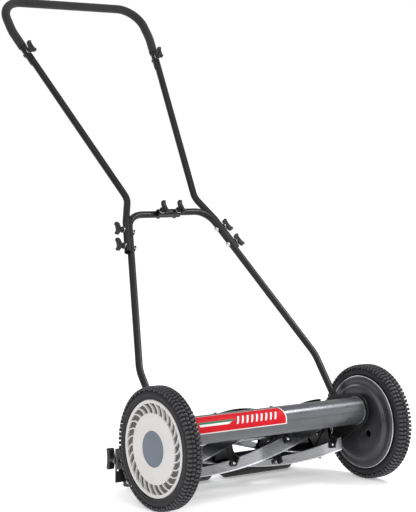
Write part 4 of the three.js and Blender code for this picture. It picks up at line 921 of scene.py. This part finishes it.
def blade(k):
    ground = 3.2
    section = [(0, 0), (ground, 0), (BLADE_WIDTH - 0.5, 0), (BLADE_WIDTH, 0.5),
               (BLADE_WIDTH, BLADE_THICKNESS - 0.5), (BLADE_WIDTH - 0.5, BLADE_THICKNESS),
               (ground + 1, BLADE_THICKNESS), (0.2, 0.9)]
    rings = []
    count = 150
    for i in range(count + 1):
        x = -BLADE_HALF + 2 * BLADE_HALF * i / count
        edge, along, inward = blade_axes(k, x)
        ring = []
        for u, v in section:
            p = edge + along * u + inward * v
            ring.append((x, REEL[1] + p[0], REEL[2] + p[1]))
        rings.append(ring)
    verts, faces = loft(rings)
    sides = len(section)
    mats = [1 if i % sides in (0, 6, 7) else 0 for i in range(count * sides)] + [0, 0]
    shells = Shells()
    shells.add((verts, faces, mats))
    piece(f"blade_{k + 1}", shells, [BLADE_STEEL, GROUND_EDGE], "reel",
          [f"reel_blade_{k + 1}"], sharp=25)


def spider(number):
    x = (number - 1.5) * SPIDER_PITCH
    tip = REEL_RADIUS - 2
    meet = math.acos((tip ** 2 + HOLLOW_CENTRE ** 2 - HOLLOW_RADIUS ** 2) / (2 * tip * HOLLOW_CENTRE))
    open_turn = math.atan2(tip * math.sin(meet), tip * math.cos(meet) - HOLLOW_CENTRE)
    outline = []
    for k in range(BLADE_COUNT):
        middle = edge_angle(-k, x) + WRAP + math.radians(36)
        for step in range(25):
            turn = -open_turn - (2 * math.pi - 2 * open_turn) * step / 24
            u = HOLLOW_CENTRE + HOLLOW_RADIUS * math.cos(turn)
            v = HOLLOW_RADIUS * math.sin(turn)
            angle = middle + math.atan2(v, u)
            outline.append(on_reel(math.hypot(u, v), angle))
        for step in range(1, 8):
            angle = middle + meet + (math.radians(72) - 2 * meet) * step / 8
            outline.append(on_reel(tip, angle))
    pulled = []
    for p in outline:
        for k in range(BLADE_COUNT):
            edge, along, inward = blade_axes(k, x)
            share = (p - edge) @ along
            depth = (p - edge) @ inward
            if -3 < share < BLADE_WIDTH + 1 and -12 < depth < BLADE_THICKNESS + 0.2:
                p = p + inward * (BLADE_THICKNESS + 0.2 - depth)
        pulled.append((REEL[1] + p[0], REEL[2] + p[1]))
    half = SPIDER_THICKNESS / 2
    shells = Shells().add(prism(pulled, x - half, x + half))
    steel = Shells()
    hub = rounded([(6.3, -10), (11, -10), (11, 10), (6.3, 10)], 0.8, 3)
    shells.add(lathe(hub, 40), place=lambda v: (x + v[0], REEL[1] + v[1], REEL[2] + v[2]))
    flare = rounded([(10.8, -4.5), (11.4, -4.5), (15.5, -1.4), (15.5, 1.4), (11.4, 4.5), (10.8, 4.5)], 0.8, 3)
    shells.add(lathe(flare, 40), place=lambda v: (x + v[0], REEL[1] + v[1], REEL[2] + v[2]))
    for k in range(BLADE_COUNT):
        edge, along, inward = blade_axes(k, x)
        start, end = BLADE_WIDTH - 16, BLADE_WIDTH + 7
        corners = [(start, -9), (end, -9), (end, 9), (start, 9)]

        def lay(v, edge=edge, along=along, inward=inward):
            p = edge + along * v[1] - inward * v[0]
            return (x + v[2], REEL[1] + p[0], REEL[2] + p[1])

        shells.add(prism(rounded(corners, 2.2, 4), 0.45, 3.05), place=lay)
        web = [(end - 2.5, -half), (end + 1, -half), (end + 1, half), (end - 2.5, half)]
        shells.add(prism(web, -4.5, 2.0), place=lay)
        rivet = [(0, 2.8), (3.9, 2.8), (3.9, 3.5), (3.4, 4.3), (2.2, 4.9), (0, 5.1)]
        steel.add(lathe(rivet, 28), place=lambda v, lay=lay: lay((v[0], (start + end) / 2 - 3 + v[1], v[2])))
        screw_turn = edge_angle(k, x) + WRAP
        if k in (0, 2):
            p = on_reel(10.6, screw_turn + math.radians(36))
            q = on_reel(1, screw_turn + math.radians(36))
            head = [(0, 0), (2.6, 0), (2.6, 1.4), (2.1, 1.9), (0, 1.9)]
            flat = np.array([-q[1], q[0]])
            steel.add(lathe(head, 20), place=lambda v, p=p, q=q, flat=flat: (
                x - 6.5 + v[2], REEL[1] + p[0] + q[0] * v[0] + flat[0] * v[1],
                REEL[2] + p[1] + q[1] * v[0] + flat[1] * v[1]))
    piece(f"spider_{number + 1}", shells, [FRAME_BLACK], "reel",
          [f"reel_spider_{number + 1}"], sharp=30, bevel=0.45, steps=2)
    piece(f"spider_{number + 1}_rivets", steel, [ZINC], "reel", sharp=35)


for k in range(BLADE_COUNT):
    blade(k)
for number in range(4):
    spider(number)

shaft_half = reach_of("reel_shaft")[1][0]
shaft = [(0, -shaft_half), (5.2, -shaft_half), (6, -shaft_half + 0.8), (6, -200), (6, -100), (6, 0),
         (6, 100), (6, 200), (6, shaft_half - 0.8), (5.2, shaft_half), (0, shaft_half)]
piece("reel_shaft_rod", Shells().add(lathe(shaft, 48), place=across(1, REEL[1], REEL[2])),
      [SHAFT_STEEL], "reel", ["reel_shaft"], sharp=30)


def bearing(side, name):
    place = across(side, REEL[1], REEL[2])
    shell = rounded([(6.5, PLATE_IN - 3), (8.6, PLATE_IN - 3), (8.9, PLATE_IN - 2.4), (12.6, PLATE_IN - 2.4),
                     (12.9, PLATE_IN - 4), (16.4, PLATE_IN - 4), (17, PLATE_IN - 3.2), (17, PLATE_IN - 0.3),
                     (14, PLATE_IN - 0.3), (14, PLATE_OUT + 1), (6.5, PLATE_OUT + 1)], 0.3, 2)
    piece(f"{name}_bearing_race", Shells().add(lathe(shell, 48), place=place), [ZINC], "frame",
          [f"{name}_reel_bearing"], sharp=30)


for side, name in SIDES:
    bearing(side, name)
    remade(f"{name}_pinion", f"{name}_pinion_gear", SHAFT_STEEL, f"{name}_pinion_gear", 0.25)
    remade(f"{name}_wheel_rim", f"{name}_rim_body", RIM_BLACK, f"{name}_wheel", 0.25)

# --- Rear roller and its brackets ---


def roller(side, name):
    low, high = sorted(abs(end[0]) for end in reach_of(f"{name}_roller"))
    r = ROLLER_RADIUS - 0.02
    profile = [(5.3, low + 3), (9, low + 3), (9.6, low), (13.6, low), (14.2, low + 0.6),
               (r - 0.4, low + 11.4), (r, low + 12.2)]
    for groove in (0.33, 0.66):
        at = low + (high - low) * groove
        profile += [(r, at - 1.4), (r - 0.7, at - 0.9), (r - 0.7, at + 0.9), (r, at + 1.4)]
    profile += [(r, high - 12.2), (r - 0.4, high - 11.4), (14.2, high - 0.6), (13.6, high),
                (9.6, high), (9, high - 3), (5.3, high - 3)]
    shells = Shells().add(lathe(profile, 72), place=across(side, ROLLER[1], ROLLER[2]))
    piece(f"{name}_roller_shell", shells, [ROLLER_BLACK], f"{name}_roller_drum",
          [f"{name}_roller"], sharp=28)


for side, name in SIDES:
    roller(side, name)
    remade(f"{name}_roller_bracket", f"{name}_bracket_angle", FRAME_BLACK, "roller_carriage",
           0.5)
rod_half = reach_of("roller_shaft")[1][0]
rod = [(0, -rod_half), (4.4, -rod_half), (5, -rod_half + 0.6), (5, 0), (5, rod_half - 0.6),
       (4.4, rod_half), (0, rod_half)]
piece("roller_rod", Shells().add(lathe(rod, 36), place=across(1, ROLLER[1], ROLLER[2])), [ZINC],
      "roller_carriage", ["roller_shaft"], sharp=30)

# --- Knobs and bolts: built along their bolt, then placed ---


def wing_outline(half, waist, bottom, top, root, dip):
    """The wing in (along, wing): blunt ears that rise past the middle."""
    points = [(bottom, -root), (bottom, root), (waist, half - 1.5), (waist + 2.2, half),
              (top - 2, half), (top, half - 3), (top - dip, root + 1.5), (top - dip - 0.6, 0),
              (top - dip, -root - 1.5), (top, -half + 3), (top - 2, -half), (waist + 2.2, -half),
              (waist, -half + 1.5)]
    return rounded(points, 2.6, 4)


def wing_solid(outline, thickness):
    """Runs the (along, wing) outline across the third axis."""
    verts, faces = prism(outline, -thickness / 2, thickness / 2)
    return [(a, w, t) for t, a, w in verts], faces


RIB_COUNT = 12


def wing_knob(name, body, place):
    stem = rounded([(0, 0.4), (6.2, 0.4), (7.3, 1.4), (7.3, 3.2), (5.6, 6.4), (5, 11), (4.8, 16.4),
                    (3, 17.4), (0, 17.4)], 0.9, 3, closed=False)
    shells = Shells().add(lathe(stem, 40, closed=False), place=place)
    shells.add(wing_solid(wing_outline(15.6, 10.5, 7.4, 21.6, 6.4, 3.4), 7.6), place=place)
    for turn in range(RIB_COUNT):
        angle = 2 * math.pi * turn / RIB_COUNT
        c, s = math.cos(angle), math.sin(angle)
        rib = block((0.8, -0.5, -0.5), (3.4, 0.5, 0.5))
        verts = [(a, (6.9 + u) * c - v * s, (6.9 + u) * s + v * c) for a, u, v in rib[0]]
        shells.add((verts, rib[1]), place=place)
    piece(f"{name}_wing_knob", shells, [KNOB_BLACK], body, [f"{name}_knob"],
          sharp=30, bevel=0.9, steps=3, angle=55)


def carriage_bolt(name, place, grip):
    head = [(0, -3.55), (2.2, -3.4), (4.4, -2.75), (6, -1.7), (6.9, -0.5), (6.9, -0.05), (3, 0),
            (3, grip + 8), (2.4, grip + 10.6), (0, grip + 10.6)]
    shells = Shells().add(lathe(head, 40, closed=False), place=place)
    washer = [(3.1, grip - 0.7), (7.2, grip - 0.7), (7.4, grip - 0.4), (7.4, grip + 0.1),
              (7.2, grip + 0.35), (3.1, grip + 0.35)]
    shells.add(lathe(washer, 40), place=place)
    piece(f"{name}_carriage_bolt", shells, [ZINC], "handle", [f"{name}_bolt"], sharp=35)


def handle_y(z):
    return PIVOT[1] + LOWER_SLOPE * (min(z, JOIN_Z) - PIVOT[2]) + UPPER_SLOPE * max(z - JOIN_Z, 0)


def on_handle(side, x, z):
    return np.array([side * x, handle_y(z), z])


def lower_line(z):
    return LOWER_OUT_X + 0.4235 * (LOWER_BEND_Z - z)


def upper_line(z):
    return 95 + 94 * (z - UPPER_BEND[1]) / 353


def lean_of(side):
    """The way the lower tube runs above its first bend."""
    return on_handle(side, lower_line(JOIN_Z), JOIN_Z) - on_handle(side, LOWER_OUT_X, LOWER_BEND_Z)


def outward_of(side):
    return unit(np.cross(unit(lean_of(side)), ARCH_FRONT)) * side


def clamp(name, start, end, wing):
    axis = unit(end - start)
    grip = np.linalg.norm(end - start)
    place = basis(start, axis, wing)
    carriage_bolt(name, place, grip)
    wing_knob(name, f"{name}_clamp", basis(end, axis, wing))


for side, name in SIDES:
    z = 958
    centre = on_handle(side, upper_line(z), z)
    clamp(f"{name}_grip", centre - TOP_FRONT * 10.75, centre + TOP_FRONT * 8.25,
          centre - on_handle(side, *UPPER_BEND))
    out = outward_of(side)
    lean = lean_of(side)
    for z, end in ((547, "high"), (513, "low")):
        centre = on_handle(side, lower_line(z), z)
        clamp(f"{name}_{end}", centre - out * 8.25, centre + out * 17.75, lean)
for x, name in ((-24, "left"), (22, "right")):
    centre = on_handle(1, x, ARCH_Z)
    clamp(f"arch_{name}", centre - ARCH_FRONT * ARCH_GRIP, centre + ARCH_FRONT * ARCH_GRIP,
          np.array([0, 1, LOWER_SLOPE]))


def height_knob(side, name):
    place = basis(np.array([side * KNOB_X, KNOB_SEAT, KNOB_Z]), (0, 1, 0), (0, 0, -1))
    stem = rounded([(0, -11.1), (2.9, -11.1), (2.9, 0.3), (8.2, 0.4), (9, 1.2), (9, 3), (7.4, 5.6),
                    (7.2, 12), (7.2, 24), (0, 24)], 0.8, 3, closed=False)
    shells = Shells().add(lathe(stem, 44, closed=False), place=place)
    shells.add(wing_solid(wing_outline(23, 21, 18, 32, 8, 2.2), 13.6), place=place)
    for sign in (-1, 1):
        for at in (-19, -15.5, -12, 12, 15.5, 19):
            rib = block((20.5, at - 0.9, sign * 6.6 - 0.6), (30.5, at + 0.9, sign * 6.6 + 0.6))
            shells.add(rib, place=place)
    piece(f"{name}_height_grip", shells, [KNOB_BLACK], f"{name}_height_clamp",
          [f"{name}_height_knob"], sharp=30, bevel=0.8, steps=3, angle=55)
    ring = Shells().add(lathe([(3.2, -0.2), (9.4, -0.2), (9.4, 0.3), (3.2, 0.3)], 40), place=place)
    piece(f"{name}_height_washer", ring, [ZINC], f"{name}_height_clamp", sharp=30)


for side, name in SIDES:
    height_knob(side, name)

# --- Handle ---


def lower_corners(side):
    shift = ARCH_FRONT * side * ARCH_OFFSET
    return [
        on_handle(side, LOWER_OUT_X, 200),
        on_handle(side, LOWER_OUT_X, LOWER_BEND_Z),
        on_handle(side, lower_line(ARCH_Z), ARCH_Z) + shift,
        on_handle(side, -ARCH_OVERLAP, ARCH_Z) + shift,
    ]


def grip_corners(side):
    shift = -TOP_FRONT * TOP_NEST
    return [
        on_handle(side, upper_line(GRIP_START_Z), GRIP_START_Z) + shift,
        on_handle(side, GRIP_HALF, GRIP_BEND_Z) + shift,
        on_handle(side, GRIP_HALF, GRIP_TOP_Z),
    ]


def whole_grip(start_share=0.0):
    halves = []
    for side in (-1, 1):
        corners = grip_corners(side)
        corners[0] = corners[0] + (corners[1] - corners[0]) * start_share
        halves.append(corners)
    return halves[0] + halves[1][::-1]


def lower_tube(side, name):
    points, ways = refined(*bent(lower_corners(side), LOWER_RADII))
    middle = on_handle(1, 0, ARCH_Z)
    face = ARCH_FRONT * side

    def press(v):
        over = abs(v[0]) - ARCH_OVERLAP - 2.5
        floor = CLEARANCE / 2 - max(0.0, over) * 0.8
        deep = (v - middle) @ face
        if over < 22 and deep < floor:
            v = v + face * (floor - deep)
        return v

    shells = Shells().add(round_tube(points, ways, (1, 0, 0), HANDLE_RADIUS, HANDLE_WALL, press=press,
                                     open_ends=(False, True)))
    along = unit([0, LOWER_SLOPE, 1])
    width = np.cross(along, [1, 0, 0])
    pivot = np.array([side * PIVOT[0], PIVOT[1], PIVOT[2]])
    top = np.linalg.norm(points[0] - pivot)
    rings = []
    stations = [-10.9, -10.4, -9.4, -7.6, -5, -2, 2, 6, 10, 14, 18, 22, 26, 30, 34, 38, 42, 46, top + 0.5]
    for at in stations:
        share = min(1, max(0, (at - 14) / (top - 16)))
        share = share * share * (3 - 2 * share)
        thick = 2.2 + (HANDLE_RADIUS - 2.2) * share
        wide = 11 + (HANDLE_RADIUS - 11) * share
        if at < 0:
            wide = math.sqrt(max(0.2, 121 - at * at))
        power = 0.35 + 0.65 * share
        ring = []
        for i in range(28):
            turn = 2 * math.pi * i / 28
            c, s = math.cos(turn), math.sin(turn)
            u = math.copysign(abs(c) ** power, c) * thick
            w = math.copysign(abs(s) ** power, s) * wide
            ring.append(pivot + along * at + np.array([1, 0, 0]) * u + width * w)
        rings.append(ring)
    shells.add(loft(rings))
    piece(f"{name}_lower_tube_bend", shells, [TUBE_BLACK], "handle",
          [f"{name}_lower_tube"], sharp=38)


def nested(path, radius):
    """Pushes points out of another tube that runs along path."""
    track = np.array(path)

    def press(v):
        gaps = np.linalg.norm(track - v, axis=1)
        near = track[gaps.argmin()]
        away = v - near
        gap = np.linalg.norm(away)
        return near + away / gap * radius if gap < radius else v

    return press


def dense(corners, radii):
    points, _ = refined(*bent(corners, radii), longest=1.5)
    return points


def upper_tube(side, name):
    out = outward_of(side) * SIDE_NEST
    corners = [
        on_handle(side, upper_line(UPPER_END_Z), UPPER_END_Z),
        on_handle(side, *UPPER_BEND),
        on_handle(side, lower_line(567), 567) + out,
        on_handle(side, lower_line(501), 501) + out,
    ]
    points, ways = refined(*bent(corners, [40, 60]), longest=6)
    past_lower = nested(dense(lower_corners(side), LOWER_RADII), HANDLE_RADIUS + 0.25)
    past_grip = nested(dense(whole_grip(), GRIP_RADII), HANDLE_RADIUS + 0.35)
    shells = Shells().add(round_tube(points, ways, (0, 1, 0), HANDLE_RADIUS, HANDLE_WALL, sides=32,
                                     press=lambda v: past_grip(past_lower(v)), open_ends=(False, True)))
    piece(f"{name}_upper_tube_bend", shells, [TUBE_BLACK], "handle",
          [f"{name}_upper_tube"], sharp=38)


for side, name in SIDES:
    lower_tube(side, name)
    upper_tube(side, name)

points, ways = refined(*bent(whole_grip(), GRIP_RADII))
piece("grip_bar_tube", Shells().add(round_tube(points, ways, (0, 1, 0), HANDLE_RADIUS, HANDLE_WALL)),
      [TUBE_BLACK], "handle", ["grip_bar"], sharp=38)


def foam_grip():
    start = (FOAM_START_Z - GRIP_START_Z) / (GRIP_BEND_Z - GRIP_START_Z)
    points, ways = refined(*bent(whole_grip(start), GRIP_RADII), longest=5)
    axes = side_axes(ways, (0, 1, 0))
    sides = 36
    rings = []

    def ring(centre, pair, radius, rough):
        made = []
        for i in range(sides):
            turn = 2 * math.pi * i / sides
            r = radius + random.uniform(-rough, 0)
            made.append(centre + pair[0] * r * math.cos(turn) + pair[1] * r * math.sin(turn))
        return made

    inner = HANDLE_RADIUS + 0.2
    for end in (0, 1):
        tip = points[0] if end == 0 else points[-1]
        way = ways[0] if end == 0 else -ways[-1]
        pair = axes[0] if end == 0 else axes[-1]
        lip = [ring(tip + way * 0.6, pair, inner, 0), ring(tip, pair, inner + 0.6, 0)]
        for i in range(7):
            turn = math.pi / 2 * i / 6
            lip.append(ring(tip + way * 1.9 * (1 - math.sin(turn)), pair,
                            FOAM_RADIUS - 1.9 + 1.9 * math.sin(turn) if i else FOAM_RADIUS - 1.9, 0))
        for i in range(7):
            turn = math.pi / 2 * i / 6
            lip[2 + i] = ring(tip + way * FOAM_EDGE * (1 - math.cos(turn)), pair,
                              FOAM_RADIUS - FOAM_EDGE * (1 - math.sin(turn)), 0)
        if end == 0:
            rings = lip
        else:
            tail = lip[::-1]
    for point, pair in list(zip(points, axes))[1:-1]:
        rings.append(ring(point, pair, FOAM_RADIUS, 0.14))
    rings += tail
    foam = piece("foam_sleeve", Shells().add(loft(rings)), [FOAM], "handle",
                 ["foam_grip"], sharp=60)


foam_grip()

# --- Floor, lights and camera ---


def floor():
    mat, nodes, links, shader = new_material("studio_floor")
    vector = coordinates(nodes, links)
    colour = ramp(nodes, links, noise(nodes, links, vector, 3), [(0.3, grey(0.9)), (0.7, grey(0.94))])
    links.new(colour, shader.inputs["Base Color"])
    shader.inputs["Roughness"].default_value = 0.9
    shader.inputs["Specular IOR Level"].default_value = 0.1
    shader.inputs["Emission Color"].default_value = (1, 1, 1, 1)
    shader.inputs["Emission Strength"].default_value = 0.34
    data = bpy.data.meshes.new("floor")
    r = 40
    data.from_pydata([(-r, -r, 0), (r, -r, 0), (r, r, 0), (-r, r, 0)], [], [(0, 1, 2, 3)])
    data.materials.append(mat)
    obj = linked("floor", data)
    obj.location.z = -0.0005


floor()


def soft_light(name, place, target, size, size_y, power):
    data = bpy.data.lights.new(name, "AREA")
    data.shape = "RECTANGLE"
    data.size, data.size_y, data.energy = size, size_y, power
    obj = linked(name, data)
    obj.location = place
    obj.rotation_euler = (Vector(target) - Vector(place)).to_track_quat("-Z", "Y").to_euler()
    obj.visible_camera = False


sun = bpy.data.lights.new("overhead", "SUN")
sun.energy = 1.0
sun.angle = math.radians(75)
sun_obj = linked("overhead", sun)
sun_obj.rotation_euler = Vector((0.35, 0.45, -1)).to_track_quat("-Z", "Y").to_euler()

soft_light("strip", (0.92, -0.87, 1.4), (0.15, -0.34, 0.16), 0.62, 0.26, 13)
soft_light("left_front", (-2.4, -1.9, 1.3), (-0.1, -0.2, 0.5), 1.2, 1.8, 16)
soft_light("right_front", (1.8, -2.2, 1.0), (0.1, -0.3, 0.3), 1.0, 1.4, 7)
soft_light("back", (0.6, 2.4, 1.8), (0, 0, 0.5), 1.6, 1.6, 14)

world = bpy.data.worlds.new("studio")
bpy.context.scene.world = world
world.use_nodes = True
nodes, links = world.node_tree.nodes, world.node_tree.links
background = nodes["Background"]
background.inputs["Color"].default_value = (0.93, 0.94, 0.96, 1)
background.inputs["Strength"].default_value = 0.6
seen = nodes.new("ShaderNodeBackground")
seen.inputs["Color"].default_value = (1, 1, 1, 1)
seen.inputs["Strength"].default_value = 1.0
path = nodes.new("ShaderNodeLightPath")
pick = nodes.new("ShaderNodeMixShader")
links.new(path.outputs["Is Camera Ray"], pick.inputs["Fac"])
links.new(background.outputs["Background"], pick.inputs[1])
links.new(seen.outputs["Background"], pick.inputs[2])
links.new(pick.outputs["Shader"], nodes["World Output"].inputs["Surface"])
bpy.context.scene.view_settings.view_transform = "Standard"

# The photograph's viewing angle
AZIMUTH = math.radians(-37.0732)
ELEVATION = math.radians(3.0960)
ROLL = math.radians(0.1669)
DISTANCE = 3.32191
FOCAL_PIXELS = 1621.07
LONG_SIDE = 512
TARGET = Vector((-0.172361, AXLE_Y * MM, 0.545824))

back = Vector((math.sin(AZIMUTH) * math.cos(ELEVATION), -math.cos(AZIMUTH) * math.cos(ELEVATION),
               math.sin(ELEVATION)))
right = (-back).cross(Vector((0, 0, 1))).normalized()
up = right.cross(-back)
rolled_right = right * math.cos(ROLL) + up * math.sin(ROLL)
rolled_up = up * math.cos(ROLL) - right * math.sin(ROLL)
camera = linked("camera", bpy.data.cameras.new("camera"))
turn = Matrix((rolled_right, rolled_up, back)).transposed().to_4x4()
camera.matrix_world = Matrix.Translation(TARGET + back * DISTANCE) @ turn
camera.data.sensor_width = 36
camera.data.lens = FOCAL_PIXELS * 36 / LONG_SIDE
camera.data.shift_x = 3.469 / LONG_SIDE
camera.data.shift_y = -16.273 / LONG_SIDE
camera.data.clip_end = 200
bpy.context.scene.camera = camera

bpy.context.view_layer.update()
